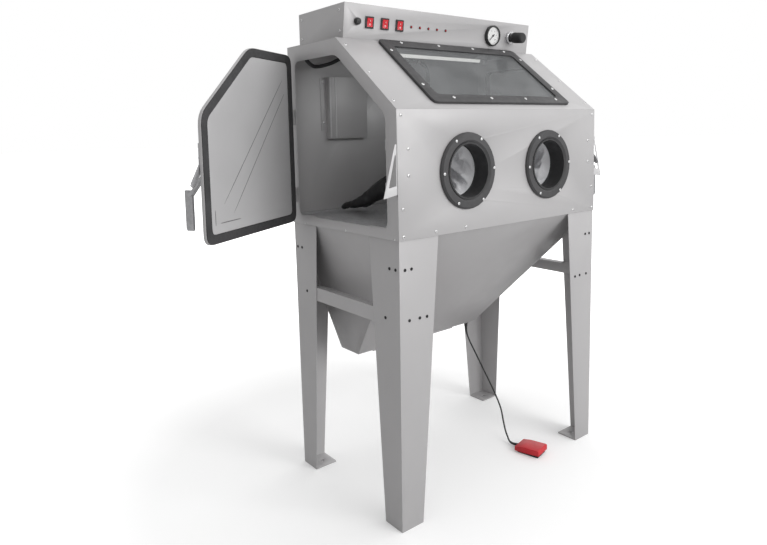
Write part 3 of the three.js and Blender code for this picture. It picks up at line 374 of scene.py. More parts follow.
# ---------------------------------------------------------------- mesh building
class Builder:
    """Collects turned, boxed and swept bodies into one piece, in mm in a local frame given as a matrix."""

    def __init__(self):
        self.mesh = bmesh.new()

    def faces(self, points, faces, matrix, material=0, smooth=True):
        verts = [self.mesh.verts.new(matrix @ (Vector(p) / 1000)) for p in points]
        for ids in faces:
            face = self.mesh.faces.new([verts[i] for i in ids])
            face.material_index, face.smooth = material, smooth

    def loft(self, rings, matrix, material=0, caps=(True, True), closed=False):
        n = len(rings[0])
        points = [p for ring in rings for p in ring]
        faces = []
        count = len(rings)
        for r in range(count if closed else count - 1):
            a, b = r * n, ((r + 1) % count) * n
            faces += [(a + i, a + (i + 1) % n, b + (i + 1) % n, b + i) for i in range(n)]
        if not closed and caps[0]:
            faces.append(tuple(reversed(range(n))))
        if not closed and caps[1]:
            faces.append(tuple(range((count - 1) * n, count * n)))
        self.faces(points, faces, matrix, material)

    def turn(self, profile, matrix, material=0, sides=20):
        """A profile of (radius, height) about local Z; a radius of 0 at an end closes on the axis."""
        angles = [2 * math.pi * i / sides for i in range(sides)]
        ring = lambda r, h: [(r * math.cos(a), r * math.sin(a), h) for a in angles]
        body = [p for p in profile if p[0] > 0]
        open_ends = (profile[0][0] == 0, profile[-1][0] == 0)
        self.loft([ring(r, h) for r, h in body], matrix, material, open_ends, closed=not any(open_ends))

    def box(self, low, high, matrix, material=0, chamfer=0.0):
        (x0, y0, z0), (x1, y1, z1) = low, high
        c = chamfer

        def clipped(d, z):
            return [(x0 + d, y0, z), (x1 - d, y0, z), (x1, y0 + d, z), (x1, y1 - d, z),
                    (x1 - d, y1, z), (x0 + d, y1, z), (x0, y1 - d, z), (x0, y0 + d, z)]

        def drawn_in(z):
            wide = clipped(c * 2, z)
            return [(min(max(p[0], x0 + c), x1 - c), min(max(p[1], y0 + c), y1 - c), z) for p in wide]

        if c:
            rings = [drawn_in(z0), clipped(c, z0 + c), clipped(c, z1 - c), drawn_in(z1)]
        else:
            rings = [[(x0, y0, z), (x1, y0, z), (x1, y1, z), (x0, y1, z)] for z in (z0, z1)]
        self.loft(rings, matrix, material)

    def tube(self, points, radius, sides=10, material=0):
        """A tube along points given in the frame's metres; radius in mm, one value or one per point."""
        points = [Vector(p) for p in points]
        radii = radius if hasattr(radius, "__len__") else [radius] * len(points)
        side = None
        rings = []
        for i, p in enumerate(points):
            ahead = (points[min(i + 1, len(points) - 1)] - points[max(i - 1, 0)]).normalized()
            if side is None:
                side = ahead.orthogonal().normalized()
            side = (side - ahead * side.dot(ahead)).normalized()
            other = ahead.cross(side)
            r = radii[i] / 1000
            rings.append([
                (p + side * (r * math.cos(a)) + other * (r * math.sin(a))) * 1000
                for a in (2 * math.pi * k / sides for k in range(sides))])
        self.loft(rings, Matrix.Identity(4), material)

    def finish(self, name, body, slot, materials, sharp=38):
        bmesh.ops.recalc_face_normals(self.mesh, faces=self.mesh.faces)
        mesh = bpy.data.meshes.new(name)
        self.mesh.to_mesh(mesh)
        self.mesh.free()
        for material in materials:
            mesh.materials.append(material)
        mesh.set_sharp_from_angle(angle=math.radians(sharp))
        piece = bpy.data.objects.new(name, mesh)
        bpy.context.scene.collection.objects.link(piece)
        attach(piece, body)
        return piece


def curve_points(route, count):
    """Points at even spacing along a smooth curve through the route."""
    knots = [Vector(p) for p in route]
    knots = [knots[0] * 2 - knots[1], *knots, knots[-1] * 2 - knots[-2]]
    fine = []
    for a, b, c, d in zip(knots, knots[1:], knots[2:], knots[3:]):
        for t in (k / 16 for k in range(16)):
            fine.append(0.5 * (2 * b + (c - a) * t + (2 * a - 5 * b + 4 * c - d) * t * t
                               + (3 * b - a - 3 * c + d) * t ** 3))
    fine.append(knots[-2])
    steps = [0.0]
    for p, q in zip(fine, fine[1:]):
        steps.append(steps[-1] + (q - p).length)
    wanted = np.linspace(0, steps[-1], count)
    axes = [np.interp(wanted, steps, [p[k] for p in fine]) for k in range(3)]
    return [Vector(p) for p in zip(*axes)], steps[-1]


def smooth_node(name, material, angle=38, bevel=0.0):
    """Gives a CAD node its material and soft shading across its facets."""
    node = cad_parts[name]
    mesh = node.data
    if "custom_normal" in mesh.attributes:
        mesh.attributes.remove(mesh.attributes["custom_normal"])
    mesh.materials.clear()
    mesh.materials.append(material)
    mesh.polygons.foreach_set("material_index", [0] * len(mesh.polygons))
    mesh.polygons.foreach_set("use_smooth", [True] * len(mesh.polygons))
    weld = node.modifiers.new("weld", "WELD")
    weld.merge_threshold = 0.00001
    if bevel:
        rounding = node.modifiers.new("bevel", "BEVEL")
        rounding.width, rounding.segments = bevel / 1000, 2
        rounding.limit_method, rounding.angle_limit = "ANGLE", math.radians(50)
    split = node.modifiers.new("split", "EDGE_SPLIT")
    split.split_angle = math.radians(angle)


# ---------------------------------------------------------------- pedal cord and inner hoses
CORD_ROUTE = [
    (285, 190, 387), (284.5, 188, 371), (281, 178, 352), (276, 158, 328), (269, 126, 298),
    (262, 92, 266), (254, 56, 232), (246, 20, 199), (239, -13, 166), (233, -42, 132), (225.8, -63, 107),
    (218.9, -81, 64.7), (210.9, -98, 36.3), (203.3, -116, 18.9), (192.7, -135, 10.6),
]
PEDAL_LENGTH = 104


def make_cord():
    sine, cosine = math.sin(PEDAL_TURN), math.cos(PEDAL_TURN)
    reach, straight = PEDAL_LENGTH / 2 + 5.3, 17
    end = (PEDAL_AT[0] - reach * sine, PEDAL_AT[1] + reach * cosine, 11)
    lead = (end[0] - straight * sine, end[1] + straight * cosine, 9.7)
    route, length = curve_points([at(*p) for p in [*CORD_ROUTE, lead, end]], 110)
    cord = Builder()
    cord.tube(route, CORD_R, 12)
    piece = cord.finish("pedal_cord_jacket", "cabinet", "plastic", [CORD_BLACK], 60)
    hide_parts("pedal_cord")

    boots = Builder()
    gland_end = 0.352
    gland = [p for p in route if p.z > gland_end]
    boots.tube(gland, [6.2 - 2.4 * k / (len(gland) - 1) for k in range(len(gland))], 14)
    boots.finish("gland_boot", "cabinet", "plastic", [PLASTIC], 60)
    stub = route[-8:]
    tail = Builder()
    tail.tube(stub, [3.9 + 1.6 * k / (len(stub) - 1) for k in range(len(stub))], 14)
    low = tail.finish("pedal_boot", "cabinet", "plastic", [PLASTIC], 60)


def make_hoses():
    """The hoses inside the chamber, each from fitting to fitting, with a ferrule at either end."""
    ceiling = ROOF - 2.3
    routes = {
        "media_hose": (8, [
            (205, 266, 1010.4), (205, 266, 1022), (211.8, 265.6, 1049.2), (230.7, 265, 1070),
            (249.6, 264, 1090.8), (256.4, 263, 1120), (252, 262.5, 1146.2), (239.4, 262, 1165),
            (220.6, 262, 1177.6), (204, 262, 1182), (192.4, 262, 1182)]),
        "blast_hose": (7, [
            (150, 262, 1284.5), (150, 262, 1330), (150, 262, 1400), (150, 262, 1472), (142, 261.5, 1504),
            (122, 260.5, 1526), (90, 258, 1535), (20, 250, 1536), (-90, 248, 1527), (-200, 246, 1536),
            (-290, 246, 1531), (-355, 246, 1506), (-416, 244, 1492), (-444, 242, 1499.5),
            (-464.5, 240.5, 1520), (-472, 240, 1546), (-472, 240, ceiling - 0.3)]),
    }
    for name, (radius, route) in routes.items():
        points, length = curve_points([at(*p) for p in route], 90)
        hose = Builder()
        hose.tube(points, radius, 14)
        piece = hose.finish(f"{name}_line", "cabinet", "rubber", [HOSE], 60)
        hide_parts(name)
        ferrules = Builder()
        for end in (points[:4], points[-4:]):
            ferrules.tube(end, [radius + 1.2] * 4, 16)
        ferrules.finish(f"{name}_ferrules", "cabinet", "steel", [ZINC])

    clips = Builder()
    for x, y in ((90, 258), (20, 250), (-200, 246)):
        ring = [(9.5 * math.cos(a), 9.5 * math.sin(a)) for a in (2 * math.pi * k / 20 for k in range(20))]
        inner = [(7.4 / 9.5 * u, 7.4 / 9.5 * v) for u, v in ring]
        band = [[(u, v, z) for u, v in loop] for loop, z in ((ring, -6), (ring, 6), (inner, 6), (inner, -6))]
        clips.loft(band, facing(at(x, y, 1536), (1, 0, 0)), closed=True)
        clips.box((-5, 8.5, -6), (-3.4, 22, 6), facing(at(x, y, 1536), (1, 0, 0)))
        clips.box((-5, 20.6, -6), (16, 22.2, 6), facing(at(x, y, 1536), (1, 0, 0)))
    clips.finish("hose_clips", "cabinet", "zinc", [ZINC])


# ---------------------------------------------------------------- screws and other fasteners
def add_screw(builder, matrix, radius, height):
    """A pan-head screw with a cross recess drawn as a thin dark cross of painted shade, its washer face on
    the surface.
    """
    dome = ((1, 0), (1, 0.35), (0.86, 0.75), (0.55, 0.96), (0.2, 1), (0, 1))
    builder.turn([(radius * r, height * h) for r, h in dome], matrix, 0, 18)
    arm, half = radius * 0.52, radius * 0.11
    # The cross is raised and dark, painted shade standing in for the hollow recess.
    for a, b in ((arm, half), (half, arm)):
        builder.box((-a, -b, height * 0.5), (a, b, height + 0.08), matrix, 1)


def screws(name, body, places, radius=5.2, height=2.6, head=SCREW, slot="steel"):
    builder = Builder()
    for matrix in places:
        add_screw(builder, matrix, radius, height)
    builder.finish(name, body, slot, [head, RECESS_SHADE])


def rivet_row(builder, start, end, count, out, radius=3.2):
    for k in range(count):
        point = Vector(start).lerp(Vector(end), (k + 0.5) / count)
        head = [(radius, 0), (radius * 0.9, 0.8), (radius * 0.45, 1.5), (0, 1.6)]
        builder.turn(head, facing(point, out), 0, 12)


def make_fasteners():
    top_edge = [(-484, 1299), (484, 1299)]
    low_edge = [(-482, 1020), (482, 1020), (-482, 937), (-349, 938), (-216, 938), (363, 938), (484, 937)]
    catch = [(s * 457, z) for s in (-1, 1) for z in (1199, 1119)]
    screws("front_screws", "cabinet", [on_front(x, z) for x, z in top_edge + low_edge + catch])

    border_low = [(x, 50) for x in (-231, -52, 126, 300)]
    border_high = [(x, 372) for x in (-235, -56, 122, 301)]
    border_side = [(x, s) for x in (-315, 351) for s in (317, 119)]
    proud = 9.3
    screws("window_screws", "cabinet",
           [on_slope(x, s, proud) for x, s in border_low + border_high + border_side], 5.4, 2.8, WHITE_SCREW)
    screws("slope_screws", "cabinet", [on_slope(x, s) for x in (-484, 484) for s in (42, 192, 345)])

    around = [math.radians(2 + 60 * k) for k in range(6)]
    for side, name in ((-1, "left"), (1, "right")):
        ring = [on_front(side * PORT_X + 114 * math.cos(a), PORT_Z + 114 * math.sin(a), 12.0) for a in around]
        screws(f"{name}_ring_screws", "cabinet", ring, 4.6, 2.2, WHITE_SCREW)

    leg_screws = [(-476, 835), (-450, 835), (-460, 676), (-418, 676), (-388, 675)]
    bolts = []
    for x, z in leg_screws:
        lean = (960 - z) / 960 * (302.7 - 290)
        bolts += [facing(at(s * x, -302.7 + lean, z), (0, -1, 0)) for s in (1, -1)]
        bolts += [facing(at(s * x, 302.7 - lean, z), (0, 1, 0)) for s in (1, -1)]
    builder = Builder()
    for matrix in bolts:
        builder.turn([(5, 0), (5, 1.1), (4.2, 1.7), (2.4, 1.7), (2.0, 0.6), (0, 0.6)], matrix, 0, 18)
    builder.finish("leg_front_bolts", "cabinet", "plastic", [HOLE_DARK])

    builder = Builder()
    for s in (-1, 1):
        for y, z in ((-283, 836), (-254, 836), (254, 836), (283, 836), (-229, 678), (229, 678)):
            matrix = facing(at(s * 497.9, y, z), (s, 0, 0))
            builder.turn([(5, 0), (5, 1.0), (4.2, 1.6), (2.4, 1.6), (2.0, 0.6), (0, 0.6)], matrix, 0, 18)
    builder.finish("leg_side_bolts", "cabinet", "plastic", [HOLE_DARK])

    side_edge = [facing(at(s * HALF_W, y, 929.3), (s, 0, 0)) for s in (-1, 1) for y in (-284, -30, 224)]
    screws("side_screws", "cabinet", side_edge, 3.8, 2.2)

    box_side = [(y, z) for y in (18, 254) for z in (1586, 1654)]
    lean_front = [facing(at(s * 466.7, y, z), (s, 0, 0)) for s in (-1, 1) for y, z in box_side]
    box_back = [facing(at(x, 271.5, z), (0, 1, 0)) for x in (-440, 0, 440) for z in (1580, 1660)]
    screws("box_screws", "cabinet", lean_front + box_back, 4.6, 2.2)

    duct = [facing(at(-235 + 60 * math.cos(a), 308.3, 1345 + 60 * math.sin(a)), (0, 1, 0)) for a in around]
    back = [facing(at(x, 305, z), (0, 1, 0)) for x in (-484, -240, 240, 484) for z in (937, 1545)]
    back += [facing(at(x, 305, 1240), (0, 1, 0)) for x in (-484, 484)]
    screws("back_screws", "cabinet", duct + back)

    baffle = [facing(at(-354, 301.2, z), (0, -1, 0)) for z in (1445, 1291)]
    screws("baffle_screws", "cabinet", baffle, 4.6, 2.2)


def make_hopper_trim():
    """Folded corner strips with a row of rivets down each slanted corner of the hopper."""
    trim = Builder()
    width, thick, lift = 17.0, 1.4, 0.2
    low, high = 412.0, 925.0
    bottom = {"x": 318.0, "front": 169.0, "back": 282.0}
    top = {"x": 495.4, "front": -299.7, "back": 299.7}
    middle = Vector((0, 225, 670))
    for side in (-1, 1):
        for depth, inward in (("front", 1), ("back", -1)):
            p = Vector((side * bottom["x"], bottom[depth], low + 4))
            q = p.lerp(Vector((side * top["x"], top[depth], high)), 0.94)
            line = (q - p).normalized()
            for along in (Vector((-side, 0, 0)), Vector((0, inward, 0))):
                flat = (along - line * along.dot(line)).normalized()
                normal = line.cross(flat).normalized()
                if normal.dot((p + q) / 2 - middle) < 0:
                    normal.negate()
                a, b = p + normal * lift, q + normal * lift
                corners = [a, b, b + flat * width, a + flat * width]
                upper = [tuple(c + normal * thick) for c in corners]
                trim.loft([[tuple(c) for c in corners], upper], Matrix.Translation(ORIGIN))
                inset = flat * width * 0.55 + normal * thick
                rivet_row(trim, ORIGIN + (a + inset) / 1000, ORIGIN + (b + inset) / 1000, 7, normal, 2.9)
    trim.finish("hopper_corner_strips", "cabinet", "paint", [PAINT])


# ---------------------------------------------------------------- doors
def door_shape(inset):
    """The door's outline in its own (y, z), moved inwards; the doorway's top meets its slope at y = 0."""
    grow = DOOR_LAP - inset
    rise = math.tan(SLOPE)
    level = DOORWAY["high"] + grow / math.cos(SLOPE)
    low, high = DOORWAY["low"] - grow, DOORWAY["high"] + grow
    front, back = DOORWAY["front"] - grow, DOORWAY["back"] - inset
    apex = (high - level) / rise
    corners = [(back, low), (back, high), (apex, high), (front, level + front * rise), (front, low)]
    return [(y - HINGE_Y, z) for y, z in corners]


def rounded(points, radius, steps=6):
    loop = []
    for i, p in enumerate(points):
        here, before, after = Vector(p), Vector(points[i - 1]), Vector(points[(i + 1) % len(points)])
        a = here + (before - here).normalized() * radius
        b = here + (after - here).normalized() * radius
        for k in range(steps + 1):
            t = k / steps
            loop.append(a * (1 - t) ** 2 + here * (2 * t * (1 - t)) + b * t ** 2)
    return [tuple(p) for p in loop]


def make_doors():
    for side, name in ((-1, "left"), (1, "right")):
        matrix = door_frame(side)
        liner = Builder()
        outer = rounded(door_shape(29.2), 18)
        inner = rounded(door_shape(33), 16)
        middle = rounded(door_shape(52), 14)
        liner.loft([[(-2.9, y, z) for y, z in outer], [(4.6, y, z) for y, z in outer],
                    [(5.2, y, z) for y, z in inner], [(1.4, y, z) for y, z in middle]], matrix)
        long_pair = (((-68, 1439), (-445, 1047)), ((-48, 1402), (-396, 1014)))
        corner = (((-468, 992), (-360, 992)), ((-492, 1034), (-492, 985)))
        for start, end in (*long_pair, *corner):
            add_crease(liner, matrix, start, end)
        # The liner takes the lighter copy of the paint (painted light); its creases carry painted shade.
        liner.finish(f"{name}_door_liner", f"{name}_door", "paint", [LIT_PAINT_COPY, CREASE_SHADE], 24)

        bead = Builder()
        path = [matrix @ (Vector((5.8, y, z)) / 1000) for y, z in rounded(door_shape(10), 30, 8)]
        lip = [matrix @ (Vector((6.1, y, z)) / 1000) for y, z in rounded(door_shape(22), 22, 8)]
        for loop, r in ((path, 1.9), (lip, 1.6)):
            bead.tube([*loop, loop[0]], r, 8)
        bead.finish(f"{name}_seal_beads", f"{name}_door", "rubber", [SEAL_RUBBER], 60)

        studs = Builder()
        studs.turn([(8.8, 0), (8.8, 1.2), (7.0, 2.2), (0, 2.4)], matrix @ facing(
            Vector((-14.3, -530, 1190)) / 1000, (-1, 0, 0)), 0, 6)
        studs.finish(f"{name}_latch_nut", f"{name}_door", "zinc", [ZINC])

        leaf = [matrix @ facing(Vector((-6.5, -y, z)) / 1000, (-1, 0, 0))
                for z0 in (1030, 1310) for y, z in ((22, z0 + 8), (22, z0 + 20))]
        screws(f"{name}_hinge_screws", f"{name}_door", leaf, 3.4, 1.5)


def add_crease(builder, matrix, start, end):
    """A long pressed line across the liner, painted dark as the shade along the crease, fading into the sheet
    at both ends.
    """
    a, b = Vector((0, *start)), Vector((0, *end))
    along = (b - a).normalized()
    across = Vector((1, 0, 0)).cross(along)
    rings = []
    for k in range(25):
        t = k / 24
        swell = min(1.0, 6 * t, 6 * (1 - t)) ** 0.5
        centre = a.lerp(b, t)
        rings.append([
            tuple(centre + across * (1.5 * math.cos(u) * (0.3 + 0.7 * swell))
                  + Vector((1.5 + 0.8 * swell * max(-0.4, math.sin(u)), 0, 0)))
            for u in (math.pi * 2 * n / 12 for n in range(12))])
    # Material 1 is the painted crease shade.
    builder.loft(rings, matrix, 1)


# ---------------------------------------------------------------- control box fittings
def make_controls():
    lamps = Builder()
    for x in INDICATOR_X:
        lamps.turn([(5.2, 0), (5.2, 1.4), (4.2, 1.9), (0, 1.9)], on_panel(x), 1, 18)
        lamps.turn([(3.9, 1.8), (3.6, 3.2), (2.4, 4.2), (0, 4.5)], on_panel(x), 0, 18)
    lamps.finish("indicator_lamps", "cabinet", "plastic", [LED_RED, PLASTIC])

    for i, x in enumerate(ROCKER_X):
        marks = Builder()
        matrix = on_panel(x, 0, 0)
        marks.box((-0.8, 4.2, 5.95), (0.8, 9.2, 6.75), matrix @ Matrix.Rotation(math.radians(11.7), 4, "X"))
        ring = [(2.9 * math.cos(a), 2.9 * math.sin(a)) for a in (2 * math.pi * k / 20 for k in range(20))]
        section = ((1, 4.9), (1, 5.35), (0.62, 5.35), (0.62, 4.9))
        loops = [[(u * f, v * f - 7.2, z) for u, v in ring] for f, z in section]
        marks.loft(loops, matrix @ Matrix.Rotation(math.radians(-6), 4, "X"), closed=True)
        marks.finish(f"rocker_marks_{i + 1}", f"rocker_{i + 1}", "lamp", [DIAL_WHITE])

    make_gauge()

    grip = Builder()
    matrix = on_panel(KNOB_X)
    for k in range(24):
        turn = matrix @ Matrix.Rotation(2 * math.pi * k / 24, 4, "Z")
        grip.box((19.2, -1.1, 25), (20.8, 1.1, 66), turn, 0, 0.3)
    grip.turn([(13.0, 71.6), (12.4, 72.3), (0, 72.3)], matrix, 0, 24)
    grip.finish("regulator_grip", "regulator_knob", "plastic", [PLASTIC])
    nut = Builder()
    for k in range(30):
        turn = matrix @ Matrix.Rotation(2 * math.pi * k / 30, 4, "Z")
        nut.box((23.4, -0.9, 1.0), (24.5, 0.9, 8.5), turn)
    nut.finish("regulator_nut_knurl", "cabinet", "steel", [BRIGHT])

    fuse = Builder()
    matrix = on_panel(FUSE_X)
    fuse.box((-6, -0.9, 13.4), (6, 0.9, 14.6), matrix, 0, 0.2)
    for k in range(16):
        turn = matrix @ Matrix.Rotation(2 * math.pi * k / 16, 4, "Z")
        fuse.box((9.8, -0.7, 5.2), (11.2, 0.7, 10.5), turn)
    fuse.finish("fuse_cap_grip", "cabinet", "plastic", [PLASTIC])


def make_gauge():
    matrix = on_panel(GAUGE_X)
    dial = Builder()
    dial.turn([(34.2, 6.05), (34.2, 6.5), (0, 6.5)], matrix, 0, 40)
    sweep = [math.radians(-225 + 270 * k / 50) for k in range(51)]
    for k, a in enumerate(sweep):
        major = k % 10 == 0
        turn = matrix @ Matrix.Rotation(-a - math.pi, 4, "Z")
        inner, half = (25.5, 0.42) if major else (28.5, 0.2)
        dial.box((inner, -half, 6.5), (32, half, 6.66), turn, 1)
    dial.finish("gauge_dial", "cabinet", "lamp", [DIAL_WHITE, INK])

    numbers = []
    for k in range(6):
        text = bpy.data.curves.new(f"dial_number_{k}", "FONT")
        text.body, text.size, text.align_x, text.align_y = str(2 * k), 0.0072, "CENTER", "CENTER"
        text.extrude = 0.00007
        a = math.radians(225 - 54 * k)
        glyph = bpy.data.objects.new(f"dial_number_{k}", text)
        bpy.context.scene.collection.objects.link(glyph)
        glyph.matrix_world = matrix @ Matrix.Translation(
            Vector((19.6 * math.cos(a), 19.6 * math.sin(a), 6.6)) / 1000)
        numbers.append(glyph)
    bpy.context.view_layer.update()
    merged = bmesh.new()
    for glyph in numbers:
        mesh = bpy.data.meshes.new_from_object(glyph.evaluated_get(bpy.context.evaluated_depsgraph_get()))
        mesh.transform(glyph.matrix_world)
        merged.from_mesh(mesh)
        bpy.data.meshes.remove(mesh)
        bpy.data.objects.remove(glyph)
    mesh = bpy.data.meshes.new("dial_numbers")
    merged.to_mesh(mesh)
    merged.free()
    mesh.materials.append(INK)
    piece = bpy.data.objects.new("dial_numbers", mesh)
    bpy.context.scene.collection.objects.link(piece)
    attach(piece, "cabinet")

    lens = Builder()
    lens.turn([(34.3, 10.6), (34.3, 11.8), (20, 12.4), (0, 12.6)], matrix, 0, 40)
    lens.finish("gauge_lens", "cabinet", "glass", [GAUGE_GLASS], 60)


# ---------------------------------------------------------------- long gloves
GLOVE_LINE = [  # sideways from the port, y, z, half width, half height
    (0, -303, 1120, 89, 89), (0, -262, 1120, 87, 87), (-10, -190, 1112, 78, 76), (-30, -110, 1098, 66, 60),
    (-55, -30, 1074, 54, 44), (-75, 40, 1046, 43, 33), (-86, 90, 1022, 35, 24),
]
SLEEVE_START, SLEEVE_END = 1.1, 4.25  # from the collar's inner edge to inside the glove's cuff


def make_gloves():
    for side, name in ((-1, "left"), (1, "right")):
        collar = Builder()
        collar.turn([(86.6, -12), (92.3, -12), (92.3, -4), (89.6, -2.5), (89.6, 46), (87.4, 49), (84.6, 49),
                     (84.6, 46), (86.6, 44)],
                    facing(at(side * PORT_X, -303, PORT_Z), (0, 1, 0)), 0, 64)
        collar = collar.finish(f"{name}_port_collar", "cabinet", "rubber", [COLLAR])
        for piece in (collar, make_sleeve(side, f"{name}_sleeve"), make_hand(side, f"{name}_hand")):
            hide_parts(f"{name}_glove")


def glove_station(t, side):
    """The sleeve's centre and half sizes at a fraction of its length."""
    place_in = SLEEVE_START + t * (SLEEVE_END - SLEEVE_START)
    k = min(int(place_in), len(GLOVE_LINE) - 2)
    f = place_in - k
    x, y, z, w, h = (a + (b - a) * f for a, b in zip(GLOVE_LINE[k], GLOVE_LINE[k + 1]))
    return Vector((side * (PORT_X - x), y, z)), w, h


def crease_depth(point):
    """1 along wandering crease lines and 0 between them."""
    return max(0.0, 1 - 3.4 * abs(noise.noise(point))) ** 1.6


def make_sleeve(side, name):
    """A soft sleeve that hangs half collapsed in slanting folds, from the collar to the glove's cuff."""
    around, along = 96, 110
    builder = Builder()
    rings = []
    for j in range(along):
        t = j / (along - 1)
        centre, w, h = glove_station(t, side)
        ring = []
        for i in range(around):
            a = 2 * math.pi * i / around
            lean = a + side * 2.2 * t
            bulge = noise.noise(Vector((math.cos(lean) * 1.1, math.sin(lean) * 1.1, t * 2.4 + side * 7)))
            fold = crease_depth(Vector((math.cos(lean) * 1.2, math.sin(lean) * 1.2, t * 3.2 + side * 3)))
            small = crease_depth(Vector((math.cos(a) * 2.6, math.sin(a) * 2.6, t * 9 + side * 11)))
            held = min(1.0, t * 9) * (0.4 + 0.6 * min(1.0, (1 - t) * 4))
            shrink = 1 - held * (0.1 + 0.34 * (0.5 + bulge) ** 2 + 0.2 * fold + 0.03 * small)
            ring.append(tuple(centre + Vector((w * shrink * math.cos(a), 0, h * shrink * math.sin(a)))))
        rings.append(ring)
    builder.loft(rings, Matrix.Translation(ORIGIN), caps=(False, False))
    piece = builder.finish(name, "cabinet", "glove", [SLEEVE], 80)
    cloth = piece.modifiers.new("cloth", "SOLIDIFY")
    cloth.thickness, cloth.offset = 0.0014, 0.0
    return piece


def make_hand(side, name):
    """A moulded glove: cuff, forearm, palm and five relaxed fingers lying on the grate."""
    capsule = []  # chains of (sideways, y, z, radius)
    capsule.append([(-57, -16, 1070, 42), (-66, 18, 1058, 39), (-74, 52, 1044, 34), (-84, 88, 1024, 29),
                    (-88, 112, 1010, 27)])
    for spread in (-17, -6, 6, 17):
        capsule.append([(-88 + spread * 0.7, 108, 1008, 21), (-92 + spread, 140, 995, 19.5),
                        (-95 + spread * 1.25, 168, 986, 16)])
        reach = 226 - abs(spread) * 0.9 + (4 if spread < 0 else 0)
        capsule.append([(-95 + spread * 1.35, 166, 987, 13.5), (-97 + spread * 1.6, 196, 983, 12),
                        (-98 + spread * 1.75, reach, 973, 10.2)])
    capsule.append([(-80, 122, 1000, 17), (-60, 146, 990, 14.5), (-54, 172, 980, 12), (-56, 188, 976, 10.5)])
    builder = bmesh.new()
    for chain in capsule:
        for (x0, y0, z0, r0), (x1, y1, z1, r1) in zip(chain, chain[1:]):
            for k in range(7):
                f = k / 6
                x, y, z, r = (a + (b - a) * f for a, b in zip((x0, y0, z0, r0), (x1, y1, z1, r1)))
                centre = at(side * (PORT_X - x), y, z)
                bmesh.ops.create_icosphere(builder, subdivisions=2, radius=r / 1000,
                                           matrix=Matrix.Translation(centre))
    mesh = bpy.data.meshes.new(name)
    builder.to_mesh(mesh)
    builder.free()
    mesh.materials.append(GLOVE)
    piece = bpy.data.objects.new(name, mesh)
    bpy.context.scene.collection.objects.link(piece)
    bpy.context.view_layer.objects.active = piece
    remesh = piece.modifiers.new("remesh", "REMESH")
    remesh.mode, remesh.voxel_size, remesh.use_smooth_shade = "VOXEL", 0.0034, True
    relax = piece.modifiers.new("relax", "SMOOTH")
    relax.factor, relax.iterations = 0.5, 6
    for modifier in ("remesh", "relax"):
        bpy.ops.object.modifier_apply(modifier=modifier)
    grate_top = 0.9563
    for vertex in piece.data.vertices:
        p = vertex.co
        fold = noise.noise(p * 55) * 0.0011 + noise.noise(Vector((p.x * 18, p.y * 60, p.z * 18))) * 0.0013
        vertex.co = p + vertex.normal * fold
        vertex.co.z = max(vertex.co.z, grate_top)
    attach(piece, "cabinet")
    return piece


# ---------------------------------------------------------------- pedal
def make_pedal():
    matrix = place(PEDAL_AT[0], PEDAL_AT[1], 0) @ Matrix.Rotation(PEDAL_TURN, 4, "Z")
    w, l = 37.0, 52.0
    pads = Builder()
    for k in range(9):
        y = -l + 10 + 6.2 * k
        top = 28.6 + (28.0 - 31.0) * max(0.0, (y + l - 4) / (2 * l - 40)) + 2.0
        pads.box((-w + 6, y - 1.5, top - 2.2), (w - 6, y + 1.5, top + 0.2), matrix, 0, 0.45)
    pads.finish("pedal_tread_ribs", "pedal_treadle", "red", [PEDAL_RED])
    feet = Builder()
    for x in (-24, 24):
        for y in (-36, 28):
            under = matrix @ Matrix.Translation((x / 1000, y / 1000, 0.0001))
            feet.turn([(0, 0.0), (6, 0.0), (6, 0.9), (5.4, 1.4), (0, 1.4)], under, 0, 14)
    feet.finish("pedal_feet", "cabinet", "plastic", [RUBBER])


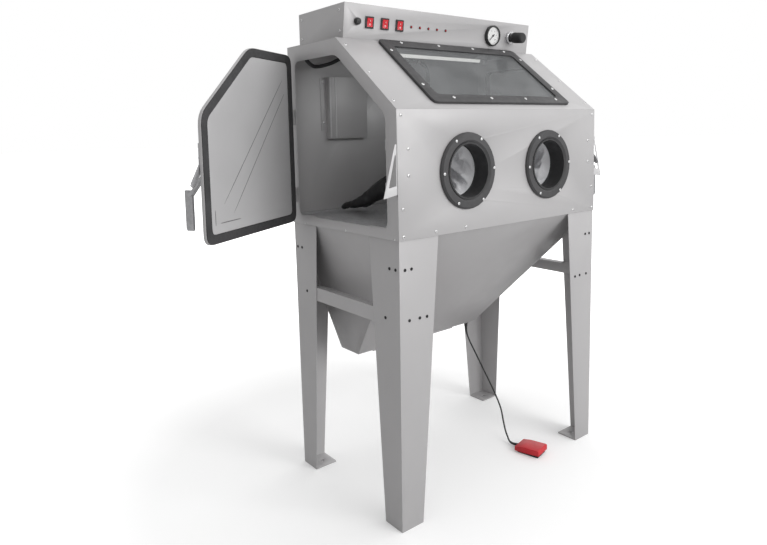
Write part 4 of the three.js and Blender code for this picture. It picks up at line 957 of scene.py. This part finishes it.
# ---------------------------------------------------------------- inside
def make_inside():
    ribs = Builder()
    for x in (-336, -311):
        ribs.box((x - 3, 278.2, 1232), (x + 3, 281.0, 1458), Matrix.Translation(ORIGIN), 0, 0.8)
    # The ribs use the lighter copy of the paint, painted light.
    ribs.finish("baffle_ribs", "cabinet", "paint", [LIT_PAINT_COPY])

    ends = Builder()
    for s in (-1, 1):
        ends.turn([(8.6, 0), (8.6, 12), (7.0, 13), (0, 13)], facing(at(s * 275, 90, 1532), (s, 0, 0)), 0, 20)
    ends.finish("lamp_end_caps", "cabinet", "zinc", [ZINC])

    nozzle = Builder()
    nozzle.turn([(11.0, -72), (13.6, -70), (13.6, -58), (11.0, -56)], place(GUN_X, GUN_Y, 1212), 0, 6)
    nozzle.finish("gun_nut", "cabinet", "steel", [BRIGHT])


def dress_nodes():
    paint = ("front_panel window_panel roof_panel back_panel left_side_panel right_side_panel hopper_front "
             "hopper_right hopper_rear hopper_left hopper_floor front_left_leg front_right_leg rear_left_leg "
             "rear_right_leg left_brace right_brace left_door right_door control_box "
             "air_baffle lamp_housing").split()
    for name in paint:
        smooth_node(name, PAINT, 30, 0.35)
    for name in ("drain_gate", "left_latch", "right_latch", "left_interlock", "right_interlock"):
        smooth_node(name, ZINC, 30, 0.35)
    for name in ("left_catch", "right_catch"):
        smooth_node(name, CATCH_PAINT, 30, 0.35)
    for name in ("pickup_tube", "dust_outlet"):
        smooth_node(name, ZINC)
    for name in ("regulator_nut", "air_inlet", "blast_gun"):
        smooth_node(name, BRIGHT, 30)
    smooth_node("work_grate", GRATE_STEEL, 30)
    smooth_node("window_frame", RUBBER, 30, 0.8)
    for side in ("left", "right"):
        smooth_node(f"{side}_glove_ring", RUBBER, 30)
        smooth_node(f"{side}_door_seal", SEAL_RUBBER, 30)
    for name in ("fuse_holder", "gauge_case", "regulator_knob", "cord_gland"):
        smooth_node(name, PLASTIC, 32)
    for name in ("switch_bezel_1", "switch_bezel_2", "switch_bezel_3", "pedal_base"):
        smooth_node(name, PLASTIC, 32, 0.5)
    smooth_node("gauge_needle", INK, 32)
    for k in (1, 2, 3):
        smooth_node(f"rocker_{k}", RED, 30, 0.5)
    smooth_node("pedal_treadle", PEDAL_RED, 30, 0.9)
    smooth_node("window_glass", WINDOW_GLASS, 30)
    smooth_node("lamp_tube", TUBE, 40)


make_camera()
make_cord()
make_studio()
dress_nodes()
make_fasteners()
make_hopper_trim()
make_doors()
make_controls()
make_gloves()
make_hoses()
make_pedal()
make_inside()
